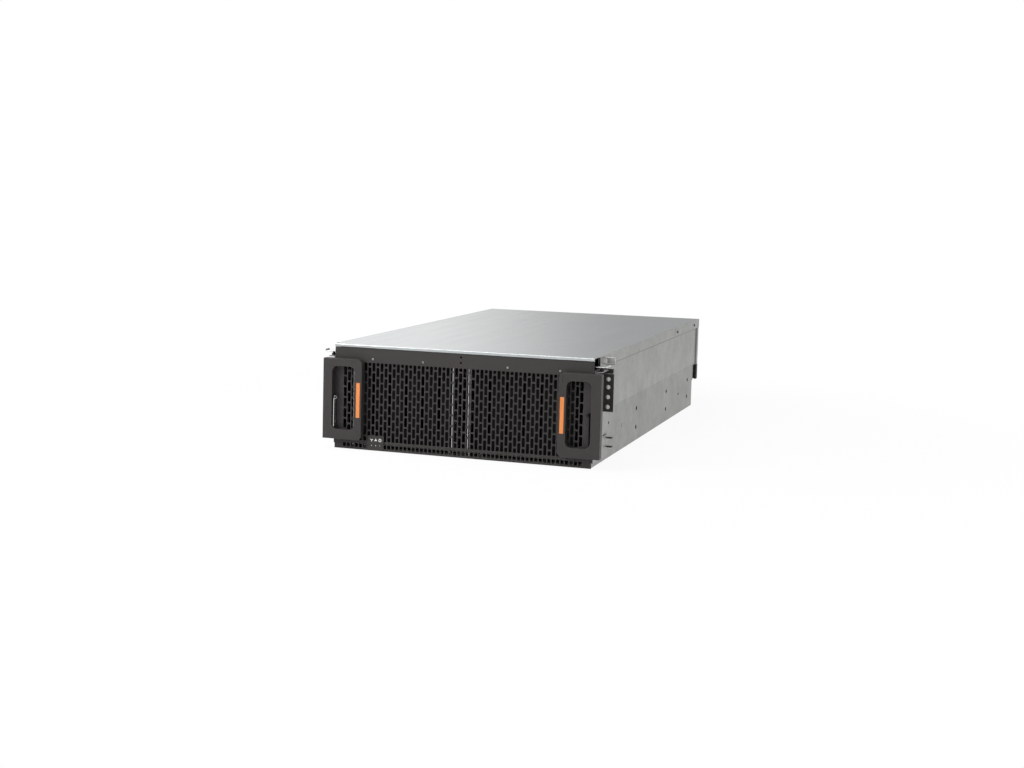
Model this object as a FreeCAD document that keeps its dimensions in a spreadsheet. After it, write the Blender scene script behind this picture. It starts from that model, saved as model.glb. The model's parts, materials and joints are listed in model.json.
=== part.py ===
import FreeCAD, Part
import Sketcher
import math
import os
import re

# Top-loading disk shelf for a 19 inch rack, four rack units high.
# Millimetres. +X is the shelf's right hand seen from the front, +Y runs to the
# rear and +Z is up. The origin lies on the underside of the base, on the centre
# plane, where that plane crosses the rack's mounting plane (Y = 0).

SIZES = {
    # Chassis shell
    "body_width": 441.0,
    "body_height": 174.5,
    "half_width": "=body_width / 2",
    "sheet_gauge": 1.5,
    "wall_joggle": 0.8,
    "joggle_height": 84.0,
    "front_reach": 47.0,
    "lower_rear": 761.0,
    "middle_rear": "=lower_rear + 7",
    "upper_rear": "=lower_rear + 24",
    "step_height": 51.5,
    "side_step_height": "=step_height + 30",
    "bend_radius": 2.0,
    "corner_notch_depth": 29.0,
    "corner_notch_floor": "=body_height - 19.5",
    "rail_hole_radius": 2.6,
    "rail_hole_low": 24.5,
    "rail_hole_high": 58.0,
    "rail_hole_first": 262.0,
    "rail_hole_middle": "=lower_rear - 250",
    "rail_hole_last": "=lower_rear - 48",
    "lock_hole_radius": 1.8,
    "lock_hole_first": 61.0,
    "lock_hole_last": "=lower_rear - 135",
    "lock_hole_front_height": 59.0,
    "lock_hole_rear_height": 40.0,
    "lock_slit_place": 152.0,
    "lock_slit_width": 2.0,
    "lock_slit_low": 38.5,
    "lock_slit_high": 46.0,
    # Covers
    "cover_lap": 3.0,
    "cover_width": "=body_width + 2 * cover_lap",
    "cover_gauge": 1.2,
    "cover_seam": "=body_height - 17",
    "cover_rear": "=upper_rear + 14",
    "cover_split": "=lower_rear - 203",
    "cover_joint": 0.6,
    "cover_overhang": 1.0,
    "cover_front_half": "=half_width",
    "cover_notch_depth": 28.0,
    "cover_lip_height": 5.0,
    "cover_lip_depth": 3.4,
    "cover_lip_round": 1.3,
    "hook_width": 42.0,
    "hook_reach": 9.0,
    "hook_place": "=half_width - 90.5",
    "cover_screw_height": "=body_height - 9.1",
    "cover_screw_first": "=cover_split + 23",
    "cover_screw_last": "=lower_rear - 14",
    # Front sheet with the slotted field
    "grille_gauge": 1.5,
    "grille_low": 13.4,
    "header_top": "=body_height - 5.5",
    "slot_pitch": 7.2,
    "slot_rise": 17.64,
    "slot_width": 5.2,
    "slot_web": 2.4,
    "field_border": 13.0,
    "field_low": "=grille_low + 2.1",
    "field_high": "=header_top - 23.3",
    "top_web": "=field_high - 6.8",
    "vent_slot_low": 3.4,
    "vent_slot_high": 11.2,
    "vent_toe": 6.0,
    "header_screw_height": "=header_top - 17.3",
    "header_screw_hole": 1.7,
    "pin_hole_low": "=header_top - 14.7",
    "pin_hole_high": "=header_top - 5.3",
    "pin_hole_radius": 1.6,
    "screw_head_radius": 2.7,
    "screw_head_height": 1.3,
    "screw_shank_radius": 1.5,
    "screw_shank_length": 5.0,
    # Handles
    "handle_inner": "=half_width - 53.5",
    "handle_outer": "=half_width + 15.5",
    "handle_low": 17.0,
    "handle_high": "=body_height - 23.5",
    "handle_depth": 13.5,
    "handle_round": 9.0,
    "grip_inner": "=handle_inner + 13",
    "grip_outer": "=handle_outer - 16",
    "grip_low": "=handle_low + 16",
    "grip_high": "=handle_high - 12.5",
    "grip_round": 9.5,
    "strip_centre": "=(handle_inner + grip_inner) / 2",
    "strip_width": 6.8,
    "strip_low": "=handle_low + 37.5",
    "strip_high": "=strip_low + 58",
    "strip_depth": 1.2,
    # Rack flanges and ear brackets
    "rack_margin": 20.8,
    "rack_width": "=body_width + 2 * rack_margin",
    "rack_hole_span": "=rack_width - 17.5",
    "rack_hole_radius": 3.5,
    "rack_hole_top": "=flange_high - 8.45",
    "rack_hole_upper": "=rack_hole_top - 12.7",
    "rack_hole_lower": "=rack_hole_upper - 15.875",
    "rack_hole_bottom": "=rack_hole_lower - 15.875",
    "flange_low": "=joggle_height + 2",
    "flange_high": "=body_height - 28",
    "flange_gauge": 2.5,
    "flange_leaf": 26.0,
    "ear_gauge": 1.5,
    "ear_rear": 48.0,
    "ear_low": 8.0,
    "ear_ledge": "=body_height - 22.5",
    "ear_slot_low": 43.0,
    "ear_slot_high": "=ear_slot_low + 6",
    "ear_slot_front": 14.0,
    "ear_tab_reach": 9.0,
    "ear_tab_low": 22.0,
    "ear_tab_high": 36.5,
    "ear_screw_place": "=23 - front_reach",
    # Cover latches on the front top corners
    "latch_pivot_x": "=half_width + 8.5",
    "latch_pivot_y": "=14 - front_reach",
    "latch_pin_radius": 2.0,
    "latch_collar_radius": 3.6,
    "latch_collar_height": 3.6,
    "latch_gauge": 1.5,
    "latch_top": "=body_height - 2.1",
    "latch_outer": "=latch_pivot_x + 18.5",
    "latch_inner": "=latch_pivot_x - 5.5",
    "latch_front": "=latch_pivot_y - 7.5",
    "latch_leaf_rear": "=latch_pivot_y + 7.5",
    "latch_leaf_inner": "=latch_pivot_x - 10",
    "latch_leaf_outer": "=latch_pivot_x + 12",
    "latch_window_radius": 3.0,
    "latch_window_height": "=latch_top - 4.8",
    # Rack release triggers inside the handles
    "trigger_pivot_x": "=grip_outer - 5.4",
    "trigger_pivot_height": "=(grip_low + grip_high) / 2",
    "trigger_pin_radius": 1.5,
    "trigger_hub_radius": 3.2,
    "trigger_blade": 1.6,
    "trigger_blade_x": "=grip_outer - 2.8",
    "trigger_low": "=grip_low + 4",
    "trigger_gap": 1.5,
    # Indicator panel
    "panel_left": "=60.5 - half_width",
    "panel_right": "=panel_left + 29",
    "panel_low": 0.6,
    "panel_high": 24.8,
    "panel_gauge": 1.4,
    "lamp_first": "=panel_left + 7.6",
    "lamp_pitch": 7.4,
    "lamp_height": 8.6,
    "lamp_radius": 0.9,
    # Drive bay
    "spine_half": 13.3,
    "duct_half": "=half_width - 31.5",
    "divider_gauge": 1.2,
    "divider_height": "=body_height - 24.5",
    "drive_pitch": "=(duct_half - 16.2) / 6",
    "drive_gap": 2.7,
    "drive_width": "=drive_pitch - drive_gap",
    "drive_row_gap": 10.4,
    "drive_row_pitch": "=(board_rear + 15) / 5",
    "drive_length": "=drive_row_pitch - drive_row_gap",
    "drive_floor": 14.0,
    "drive_height": "=body_height - 27.5",
    "first_drive_row": "=20 - front_reach",
    "carrier_height": 5.0,
    "carrier_grip": 9.0,
    "board_height": 6.0,
    "board_gauge": 1.6,
    "board_rear": "=cover_split - 13",
    "standoff_radius": 3.0,
    "standoff_inset": 12.0,
    "connector_width": 9.0,
    "bay_front": "=8 - front_reach",
    "rail_height": 22.0,
    "midplane_front": "=cover_split - 2",
    # Rear frame and its modules
    "frame_front": "=cover_split + 5",
    "deck_gauge": 1.2,
    "bulkhead_window": "=2 * fan_half_width - 16.7",
    "bulkhead_rim": 10.0,
    "fan_bay_front": "=upper_rear - 89",
    "module_clearance": 0.8,
    "fan_pitch": "=(half_width - sheet_gauge) / 2",
    "fan_half_width": "=fan_pitch / 2 - divider_gauge / 2 - module_clearance",
    "fan_low": "=step_height + deck_gauge + seat_gap",
    "fan_high": "=body_height - cover_gauge - module_clearance",
    "fan_height": "=(fan_low + fan_high) / 2",
    "fan_front": "=fan_bay_front + 4",
    "fan_rear": "=upper_rear + 8",
    "fan_wall": 2.0,
    "fan_face": 3.0,
    "fan_hub_disc": 20.0,
    "fan_rim": 4.35,
    "fan_opening": "=min(fan_half_width; fan_high - fan_height) - fan_rim",
    "fan_spoke": 3.6,
    "fan_spokes": 4.0,
    "motor_radius": 18.0,
    "motor_length": 14.0,
    "spindle_radius": 3.0,
    "spindle_clearance": 0.15,
    "impeller_front": "=fan_rear - 51",
    "impeller_length": 32.0,
    "impeller_hub": 19.0,
    "impeller_radius": "=fan_opening - 3",
    "impeller_blades": 5.0,
    "blade_gauge": 1.8,
    "blade_twist": 42.0,
    "fan_latch_offset": "=fan_half_width - 14.85",
    "fan_latch_pin_height": "=fan_high - 7.5",
    "fan_latch_length": 20.0,
    "latch_width": 12.0,
    "latch_thickness": 3.6,
    "latch_stand": 2.9,
    "latch_pin": 1.2,
    "latch_ear": 2.2,
    "psu_bay": 86.0,
    "module_front": "=frame_front + 5",
    "module_rear": "=lower_rear - 2",
    "module_wall": 1.2,
    "module_nose": 20.0,
    "inlet_offset": 24.0,
    "inlet_centre": "=step_height / 2 - 0.5",
    "inlet_width": 27.6,
    "inlet_height": 20.4,
    "inlet_depth": 16.0,
    "inlet_blade": 2.0,
    "inlet_blade_length": 11.0,
    "exhaust_offset": 14.0,
    "exhaust_slot": 4.0,
    "exhaust_pitch": 7.0,
    "exhaust_slots": 5.0,
    "exhaust_low": 10.0,
    "exhaust_high": "=step_height - 13",
    "bail_bar": 4.0,
    "bail_stand": 3.2,
    "bail_width": 46.0,
    "bail_drop": 30.0,
    "bail_pin_height": "=step_height - 9",
    "bail_pin": 1.5,
    "psu_latch_pin_height": "=step_height - 7",
    "psu_latch_length": 8.0,
    "port_first": 16.0,
    "port_width": 16.0,
    "port_height": 9.0,
    "port_depth": 12.0,
    "port_pitch": 19.0,
    "port_low": 10.0,
    "port_rise": 14.0,
    "port_rows": 2.0,
    "port_columns": 3.0,
    "network_offset": 84.0,
    "network_width": 13.0,
    "lever_pivot_inset": 9.0,
    "lever_length": 98.0,
    "lever_low": "=step_height - 15.5",
    "lever_high": "=step_height - 8.5",
    "lever_gauge": 4.0,
    "lever_overhang": 2.4,
    "lever_stand": 3.4,
    "lever_pin": 1.2,
    "lever_ear": 2.0,
    "hinge_clearance": 0.15,
    "seat_gap": 0.3,
}

HEADER_SCREWS = (-153.0, -65.0, 79.0, 166.0)
EAR_SCREWS = (30.0, 66.0, 120.0)
LAMPS = 3
DRIVE_ROWS = 5
DRIVES_PER_SIDE = 6
FANS = (1, 2, 3, 4)
SIDES = (("left", "-"), ("right", ""))

doc = FreeCAD.newDocument("DiskShelf")
sheet = doc.addObject("Spreadsheet::Sheet", "Sizes")
for line, size_name in enumerate(SIZES, start=1):
    sheet.set(f"A{line}", size_name)
    sheet.setAlias(f"B{line}", size_name)
for line, amount in enumerate(SIZES.values(), start=1):
    sheet.set(f"B{line}", str(amount))
doc.recompute()

SIZE_WORD = re.compile(r"\b(" + "|".join(SIZES) + r")\b")
HALF = "half_width"
LOWER_HALF = "(half_width - wall_joggle)"
FRONT = "(-front_reach)"
INNER_FLOOR = "sheet_gauge"
COVER_UNDER = "(body_height - cover_gauge)"
TURN = {
    "X": FreeCAD.Rotation(FreeCAD.Vector(0, 1, 0), 90),
    "Y": FreeCAD.Rotation(FreeCAD.Vector(1, 0, 0), -90),
    "Z": FreeCAD.Rotation(),
}
NEAR = 0.01
FIRST_RING = 10.0
kept = []


def size(name):
    """The value that the sheet holds under a name."""
    return float(sheet.get(name))


def formula(text):
    """A formula in size names, written for the expression engine."""
    return SIZE_WORD.sub(r"Sizes.\1", text)


def bind(item, path, text):
    item.setExpression(path, formula(text))


def keep(item, label):
    """Mark a finished piece, whose label names its file."""
    item.Label = label
    kept.append(item)
    return item


def about(middle, half):
    """Two formulas the same distance either side of a middle."""
    return (f"{middle} - {half}", f"{middle} + {half}")


# ---- Plain solids and booleans -------------------------------------------------


def box(x, y, z):
    """A block between two formulas along each axis."""
    block = doc.addObject("Part::Box", "Block")
    for length, place, (low, high) in (("Length", "x", x), ("Width", "y", y), ("Height", "z", z)):
        bind(block, length, f"({high}) - ({low})")
        bind(block, f"Placement.Base.{place}", low)
    return block


def rod(axis, centre, radius, start, end):
    """A round bar along an axis; centre gives the other two coordinates in order."""
    bar = doc.addObject("Part::Cylinder", "Rod")
    bar.Placement = FreeCAD.Placement(FreeCAD.Vector(), TURN[axis])
    bind(bar, "Radius", radius)
    bind(bar, "Height", f"({end}) - ({start})")
    others = [letter for letter in "XYZ" if letter != axis]
    bind(bar, f"Placement.Base.{axis.lower()}", start)
    for letter, text in zip(others, centre):
        bind(bar, f"Placement.Base.{letter.lower()}", text)
    return bar


def group(parts):
    """Separate solids kept side by side."""
    if len(parts) == 1:
        return parts[0]
    bundle = doc.addObject("Part::Compound", "Group")
    bundle.Links = parts
    return bundle


def join(parts):
    whole = doc.addObject("Part::MultiFuse", "Joined")
    whole.Shapes = parts
    whole.Refine = True
    return whole


def cut(base, tools):
    rest = doc.addObject("Part::Cut", "Cut")
    rest.Base = base
    rest.Tool = group(tools)
    rest.Refine = True
    return rest


def coded(shape):
    """A piece whose form comes from a calculation over the sheet's values."""
    item = doc.addObject("Part::Feature", "Formed")
    item.Shape = shape
    return item


# ---- Bodies made from sketches -------------------------------------------------


def new_body(name):
    return doc.addObject("PartDesign::Body", name)


def plane_of(body, role):
    return next(item for item in body.Origin.OriginFeatures if item.Role == role)


def new_sketch(body, role, offset="0"):
    sketch = body.newObject("Sketcher::SketchObject", "Sketch")
    sketch.AttachmentSupport = [(plane_of(body, role), "")]
    sketch.MapMode = "FlatFace"
    bind(sketch, "AttachmentOffset.Base.z", offset)
    return sketch


def pin_point(sketch, line, end, across, up):
    """Tie one point of a sketch to two formulas."""
    point = sketch.getPoint(line, end)
    for kind, place, text in (("DistanceX", point.x, across), ("DistanceY", point.y, up)):
        index = sketch.addConstraint(Sketcher.Constraint(kind, -1, 1, line, end, place))
        bind(sketch, f"Constraints[{index}]", text)


def draw_polygon(sketch, points):
    """A closed outline whose corners are pairs of formulas."""
    count = len(points)
    first = sketch.GeometryCount
    step = 2 * math.pi / count
    corners = [FreeCAD.Vector(math.cos(step * i), math.sin(step * i), 0) * FIRST_RING for i in range(count)]
    for i in range(count):
        sketch.addGeometry(Part.LineSegment(corners[i], corners[(i + 1) % count]), False)
    for i in range(count):
        follower = first + (i + 1) % count
        sketch.addConstraint(Sketcher.Constraint("Coincident", first + i, 2, follower, 1))
    for i, (across, up) in enumerate(points):
        pin_point(sketch, first + i, 1, across, up)


def draw_rectangle(sketch, across, up):
    (left, right), (low, high) = across, up
    draw_polygon(sketch, [(left, low), (right, low), (right, high), (left, high)])


def draw_circle(sketch, across, up, radius):
    ring = sketch.addGeometry(Part.Circle(FreeCAD.Vector(), FreeCAD.Vector(0, 0, 1), 1), False)
    pin_point(sketch, ring, 3, across, up)
    index = sketch.addConstraint(Sketcher.Constraint("Radius", ring, 1))
    bind(sketch, f"Constraints[{index}]", radius)


def pad(body, sketch, length, reverse=False):
    feature = body.newObject("PartDesign::Pad", "Pad")
    feature.Profile = sketch
    feature.Reversed = reverse
    bind(feature, "Length", length)
    doc.recompute()
    return feature


def pocket(body, sketch):
    """Cut a sketch right through the body, both ways."""
    feature = body.newObject("PartDesign::Pocket", "Pocket")
    feature.Profile = sketch
    feature.Midplane = True
    feature.Type = "ThroughAll"
    doc.recompute()
    return feature


def section_at(body, along):
    """A sketch in the X-Z plane at one Y value."""
    return new_sketch(body, "XZ_Plane", f"-({along})")


def pad_back(body, sketch, along):
    """Pad an X-Z section from the first Y value to the second."""
    return pad(body, sketch, f"({along[1]}) - ({along[0]})", reverse=True)


def pad_block(body, across, along, up):
    """Pad a block between two formulas along each axis."""
    sketch = section_at(body, along[0])
    draw_rectangle(sketch, across, up)
    return pad_back(body, sketch, along)


def pocket_block(body, across, along, up):
    """Cut a block between two formulas along each axis."""
    sketch = section_at(body, along[0])
    draw_rectangle(sketch, across, up)
    feature = body.newObject("PartDesign::Pocket", "Pocket")
    feature.Profile = sketch
    bind(feature, "Length", f"({along[1]}) - ({along[0]})")
    doc.recompute()
    return feature


def round_edges(body, base, axis, inside, radius):
    """Round the last feature's edges that run along an axis and whose middle the test accepts."""
    names = [
        f"Edge{i}"
        for i, edge in enumerate(base.Shape.Edges, start=1)
        if runs_along(edge, axis) and inside(edge.BoundBox.Center)
    ]
    feature = body.newObject("PartDesign::Fillet", "Fillet")
    feature.Base = (base, names)
    bind(feature, "Radius", radius)
    doc.recompute()
    return feature


def runs_along(edge, axis):
    """Whether an edge is straight and parallel to an axis."""
    spread = edge.BoundBox
    lengths = {"X": spread.XLength, "Y": spread.YLength, "Z": spread.ZLength}
    along = lengths.pop(axis)
    return along > NEAR and max(lengths.values()) < NEAR


# ---- Chassis shell -------------------------------------------------------------


def mirrored(section):
    """An X-Z outline closed by its own mirror image across the centre plane."""
    return section + [(f"-{across}", up) for across, up in reversed(section)]


def make_chassis_tub():
    """Base and both side walls, bent from one sheet; the walls step in at mid height."""
    tub = new_body("ChassisTub")
    wall_top = f"{COVER_UNDER} - seat_gap"
    step_low = "joggle_height - wall_joggle / 2"
    step_high = "joggle_height + wall_joggle / 2"
    half = [
        (LOWER_HALF, "0"),
        (LOWER_HALF, step_low),
        (HALF, step_high),
        (HALF, wall_top),
        (f"({HALF} - sheet_gauge)", wall_top),
        (f"({HALF} - sheet_gauge)", step_high),
        (f"({LOWER_HALF} - sheet_gauge)", step_low),
        (f"({LOWER_HALF} - sheet_gauge)", INNER_FLOOR),
    ]
    along = (f"{FRONT} + grille_gauge", "upper_rear")
    section = section_at(tub, along[0])
    draw_polygon(section, mirrored(half))
    shell = pad_back(tub, section, along)
    round_edges(tub, shell, "Y", is_lower_corner, "bend_radius")
    sides = new_sketch(tub, "YZ_Plane")
    draw_polygon(sides, [
        ("lower_rear", "-sheet_gauge"),
        ("upper_rear + sheet_gauge", "-sheet_gauge"),
        ("upper_rear + sheet_gauge", "side_step_height"),
        ("middle_rear", "side_step_height"),
        ("middle_rear", "step_height"),
        ("lower_rear", "step_height"),
    ])
    notch_rear = f"{FRONT} + corner_notch_depth"
    draw_rectangle(sides, (f"{FRONT} - sheet_gauge", notch_rear), ("corner_notch_floor", "body_height"))
    for place in ("rail_hole_first", "rail_hole_middle", "rail_hole_last"):
        for height in ("rail_hole_low", "rail_hole_high"):
            draw_circle(sides, place, height, "rail_hole_radius")
    draw_circle(sides, "lock_hole_first", "lock_hole_front_height", "lock_hole_radius")
    draw_circle(sides, "lock_hole_last", "lock_hole_rear_height", "lock_hole_radius")
    draw_rectangle(sides, ("lock_slit_place", "lock_slit_place + lock_slit_width"),
                   ("lock_slit_low", "lock_slit_high"))
    for place in ("cover_screw_first", "cover_screw_last"):
        draw_circle(sides, place, "cover_screw_height", "screw_shank_radius + hinge_clearance")
    pocket(tub, sides)
    return keep(tub, "chassis_tub")


def is_lower_corner(middle):
    return abs(abs(middle.x) - (size("half_width") - size("wall_joggle"))) < NEAR and abs(middle.z) < NEAR


def slot_spans(column):
    """Open stretches of one column of the slotted field, between its webs."""
    half_web = size("slot_web") / 2
    low = size("field_low")
    web = size("top_web") - (column % 2) * size("slot_rise") / 2
    top = size("field_high")
    spans = []
    while web - half_web > low + half_web:
        spans.append((web + half_web, top))
        top = web - half_web
        web -= size("slot_rise")
    spans.append((low, top))
    return spans


def wall_rectangle(left, right, low, high, face):
    """A closed rectangle standing in an X-Z plane."""
    corners = [(left, low), (right, low), (right, high), (left, high), (left, low)]
    return Part.makePolygon([FreeCAD.Vector(x, face, z) for x, z in corners])


def wall_circle(across, up, radius, face):
    ring = Part.Circle(FreeCAD.Vector(across, face, up), FreeCAD.Vector(0, 1, 0), radius)
    return Part.Wire(ring.toShape())


def pierced_sheet(outer, openings, gauge):
    """A flat sheet facing the front, with every opening cut through it."""
    face = Part.makeFace([outer] + openings, "Part::FaceMakerBullseye")
    return face.extrude(FreeCAD.Vector(0, gauge, 0))


def slot_columns():
    """Column numbers of the slotted field, counted from the centre plane."""
    room = size("half_width") - size("field_border") - size("slot_width") / 2
    reach = int(room // size("slot_pitch"))
    return range(-reach, reach + 1)


def slot_sides(column):
    middle = column * size("slot_pitch")
    return middle - size("slot_width") / 2, middle + size("slot_width") / 2


def make_front_grille():
    """The front sheet: plain header above a field of staggered upright slots."""
    half = size("half_width")
    face = -size("front_reach")
    openings = []
    for column in slot_columns():
        left, right = slot_sides(column)
        for low, high in slot_spans(column):
            openings.append(wall_rectangle(left, right, low, high, face))
    for across in HEADER_SCREWS:
        openings.append(wall_circle(across, size("header_screw_height"), size("header_screw_hole"), face))
    for height in ("pin_hole_low", "pin_hole_high"):
        openings.append(wall_circle(0, size(height), size("pin_hole_radius"), face))
    outer = wall_rectangle(-half, half, size("grille_low"), size("header_top"), face)
    return keep(coded(pierced_sheet(outer, openings, size("grille_gauge"))), "front_grille")


def make_lower_vent():
    """The strip under the slotted field: one row of short slots at the same pitch."""
    half = size("half_width") - size("wall_joggle")
    face = -size("front_reach")
    openings = [
        wall_rectangle(*slot_sides(column), size("vent_slot_low"), size("vent_slot_high"), face)
        for column in slot_columns()
    ]
    outer = wall_rectangle(-half, half, 0, size("grille_low"), face)
    strip = coded(pierced_sheet(outer, openings, size("grille_gauge")))
    back = f"{FRONT} + grille_gauge"
    toe_half = f"({LOWER_HALF} - field_border)"
    toe = box((f"-{toe_half}", toe_half), (back, f"{back} + vent_toe"),
              (INNER_FLOOR, f"{INNER_FLOOR} + grille_gauge"))
    return keep(join([strip, toe]), "lower_vent")


def make_grille_screws():
    """Pan-head screws in the header; each shank passes through the sheet."""
    screws = []
    for across in HEADER_SCREWS:
        centre = (str(across), "header_screw_height")
        head = rod("Y", centre, "screw_head_radius", f"{FRONT} - screw_head_height", FRONT)
        shank = rod("Y", centre, "screw_shank_radius", FRONT, f"{FRONT} + screw_shank_length")
        screws.append(join([head, shank]))
    return keep(group(screws), "grille_screws")


# ---- Covers --------------------------------------------------------------------


def pad_cover(body, along):
    """Pad a flat lid with a side flange folded down along each edge."""
    outside, inside = "(cover_width / 2)", "(cover_width / 2 - cover_gauge)"
    section = section_at(body, along[0])
    draw_polygon(section, mirrored([
        (outside, "body_height"),
        (outside, "cover_seam"),
        (inside, "cover_seam"),
        (inside, COVER_UNDER),
    ]))
    pad_back(body, section, along)


def make_front_cover():
    """The lid over the drives: a thick front lip, notched corners, two hooks behind."""
    cover = new_body("FrontCover")
    front = f"({FRONT} - cover_overhang)"
    pad_cover(cover, (front, "cover_split"))
    corners = new_sketch(cover, "XY_Plane")
    for sign in ("", "-"):
        draw_rectangle(corners, (f"{sign}cover_front_half", f"{sign}(cover_width / 2 + cover_gauge)"),
                       (f"{front} - cover_gauge", f"{front} + cover_notch_depth"))
    pocket(cover, corners)
    for sign in ("-", ""):
        pad_hook(cover, sign)
    lip_up = ("body_height - cover_lip_height", f"{COVER_UNDER} + cover_gauge / 2")
    lip = pad_block(cover, ("-cover_front_half", "cover_front_half"),
                    (front, f"{front} + cover_lip_depth"), lip_up)
    round_edges(cover, lip, "X", is_cover_front, "cover_lip_round")
    return keep(cover, "front_cover")


def pad_hook(cover, sign):
    """A joggled tongue that reaches under the rear cover."""
    hook = new_sketch(cover, "YZ_Plane", f"{sign}hook_place - hook_width / 2")
    low = f"{COVER_UNDER} - seat_gap - cover_gauge"
    draw_polygon(hook, [
        ("cover_split - hook_reach", COVER_UNDER),
        ("cover_split - seat_gap", COVER_UNDER),
        ("cover_split", f"{COVER_UNDER} - seat_gap"),
        ("cover_split + hook_reach", f"{COVER_UNDER} - seat_gap"),
        ("cover_split + hook_reach", low),
        ("cover_split - hook_reach", low),
    ])
    pad(cover, hook, "hook_width")


def is_cover_front(middle):
    return abs(middle.y + size("front_reach") + size("cover_overhang")) < NEAR


def make_rear_cover():
    """The fixed lid over the rear electronics, screwed on through its flanges."""
    cover = new_body("RearCover")
    pad_cover(cover, ("cover_split + cover_joint", "cover_rear"))
    holes = new_sketch(cover, "YZ_Plane")
    for along in ("cover_screw_first", "cover_screw_last"):
        draw_circle(holes, along, "cover_screw_height", "screw_shank_radius + hinge_clearance")
    pocket(cover, holes)
    return keep(cover, "rear_cover")


def make_cover_screws():
    screws = []
    for along in ("cover_screw_first", "cover_screw_last"):
        centre = (along, "cover_screw_height")
        flange = "cover_width / 2"
        screws.append(join([
            rod("X", centre, "screw_head_radius", flange, f"{flange} + screw_head_height"),
            rod("X", centre, "screw_shank_radius", f"{flange} - screw_shank_length", flange),
        ]))
        screws.append(join([
            rod("X", centre, "screw_head_radius", f"-{flange} - screw_head_height", f"-{flange}"),
            rod("X", centre, "screw_shank_radius", f"-{flange}", f"-{flange} + screw_shank_length"),
        ]))
    return keep(group(screws), "cover_screws")


# ---- Handles, rack flanges and ear brackets ------------------------------------


def make_handle(label, sign):
    """A deep pull frame round a finger opening, rounded on its inboard side."""
    handle = new_body("Handle")
    front = f"({FRONT} - handle_depth)"
    frame = pad_block(handle, (f"{sign}handle_inner", f"{sign}handle_outer"), (front, FRONT),
                      ("handle_low", "handle_high"))
    round_edges(handle, frame, "Y", is_inboard, "handle_round")
    opening = section_at(handle, front)
    draw_rectangle(opening, (f"{sign}grip_inner", f"{sign}grip_outer"), ("grip_low", "grip_high"))
    grip = pocket(handle, opening)
    round_edges(handle, grip, "Y", is_grip_corner, "grip_round")
    pocket_block(handle, strip_span(sign, "hinge_clearance"), (front, f"{front} + strip_depth"),
                 ("strip_low - hinge_clearance", "strip_high + hinge_clearance"))
    return keep(handle, label)


def is_inboard(middle):
    return abs(abs(middle.x) - size("handle_inner")) < NEAR


def is_grip_corner(middle):
    """Whether a point stands on one of the finger opening's four corners."""
    across = min(abs(abs(middle.x) - size(name)) for name in ("grip_inner", "grip_outer"))
    up = min(abs(middle.z - size(name)) for name in ("grip_low", "grip_high"))
    return max(across, up) < NEAR


def strip_span(sign, margin):
    reach = f"(strip_width / 2 + {margin})"
    return (f"{sign}strip_centre - {reach}", f"{sign}strip_centre + {reach}")


def make_touch_strip(label, sign):
    """A coloured strip let into the handle's inboard bar."""
    front = f"{FRONT} - handle_depth"
    along = (front, f"{front} + strip_depth")
    return keep(box(strip_span(sign, "0"), along, ("strip_low", "strip_high")), label)


def make_ear_bracket(label, sign):
    """A plated bracket on the side wall: a slotted leaf with a ledge folded out on top."""
    ear = new_body("EarBracket")
    front = f"({FRONT} + grille_gauge)"
    leaf = new_sketch(ear, "YZ_Plane", f"{sign}{HALF}")
    draw_polygon(leaf, [
        (front, "ear_low"),
        ("ear_rear - ear_low", "ear_low"),
        ("ear_rear", "2 * ear_low"),
        ("ear_rear", "ear_slot_low"),
        ("ear_slot_front", "ear_slot_low"),
        ("ear_slot_front", "ear_slot_high"),
        ("ear_rear", "ear_slot_high"),
        ("ear_rear", "joggle_height"),
        ("flange_leaf", "flange_low + ear_low"),
        ("flange_leaf", "ear_ledge + ear_gauge"),
        (front, "ear_ledge + ear_gauge"),
    ])
    pad(ear, leaf, "ear_gauge", reverse=(sign == "-"))
    pad_block(ear, (f"{sign}{HALF}", f"{sign}(rack_width / 2)"), (front, "-flange_gauge"),
              ("ear_ledge", "ear_ledge + ear_gauge"))
    tab_along = ("ear_rear - ear_tab_reach", "ear_rear")
    for low in ("ear_tab_low", "ear_tab_high"):
        pad_block(ear, (f"{sign}{HALF}", f"{sign}({HALF} + ear_gauge + ear_tab_reach)"), tab_along,
                  (low, f"{low} + ear_gauge"))
    return keep(ear, label)


def make_rack_flange(label, sign):
    """The black upright that bolts to the rack rail, with a leaf along the bracket."""
    flange = new_body("RackFlange")
    inner = f"({HALF} + ear_gauge)"
    upright = section_at(flange, "-flange_gauge")
    draw_rectangle(upright, (f"{sign}{inner}", f"{sign}(rack_width / 2)"), ("flange_low", "flange_high"))
    for up in ("rack_hole_bottom", "rack_hole_lower", "rack_hole_upper", "rack_hole_top"):
        draw_circle(upright, f"{sign}rack_hole_span / 2", up, "rack_hole_radius")
    pad_back(flange, upright, ("-flange_gauge", "0"))
    pad_block(flange, (f"{sign}{inner}", f"{sign}({inner} + flange_gauge)"), ("-flange_gauge", "flange_leaf"),
              ("flange_low", "flange_high"))
    return keep(flange, label)


def make_ear_screws():
    """Screws that hold each bracket to the side wall, in the gap behind the handle."""
    screws = []
    seat = f"({HALF} + ear_gauge)"
    for up in EAR_SCREWS:
        centre = ("ear_screw_place", str(up))
        screws.append(rod("X", centre, "screw_head_radius", seat, f"{seat} + screw_head_height"))
        screws.append(rod("X", centre, "screw_head_radius", f"-{seat} - screw_head_height", f"-{seat}"))
    return keep(group(screws), "ear_screws")


# ---- Latches and triggers on the front -----------------------------------------

LATCH_SEAT = "(ear_ledge + ear_gauge)"
LATCH_LEAF = "(ear_ledge + ear_gauge + latch_collar_height)"


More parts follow.
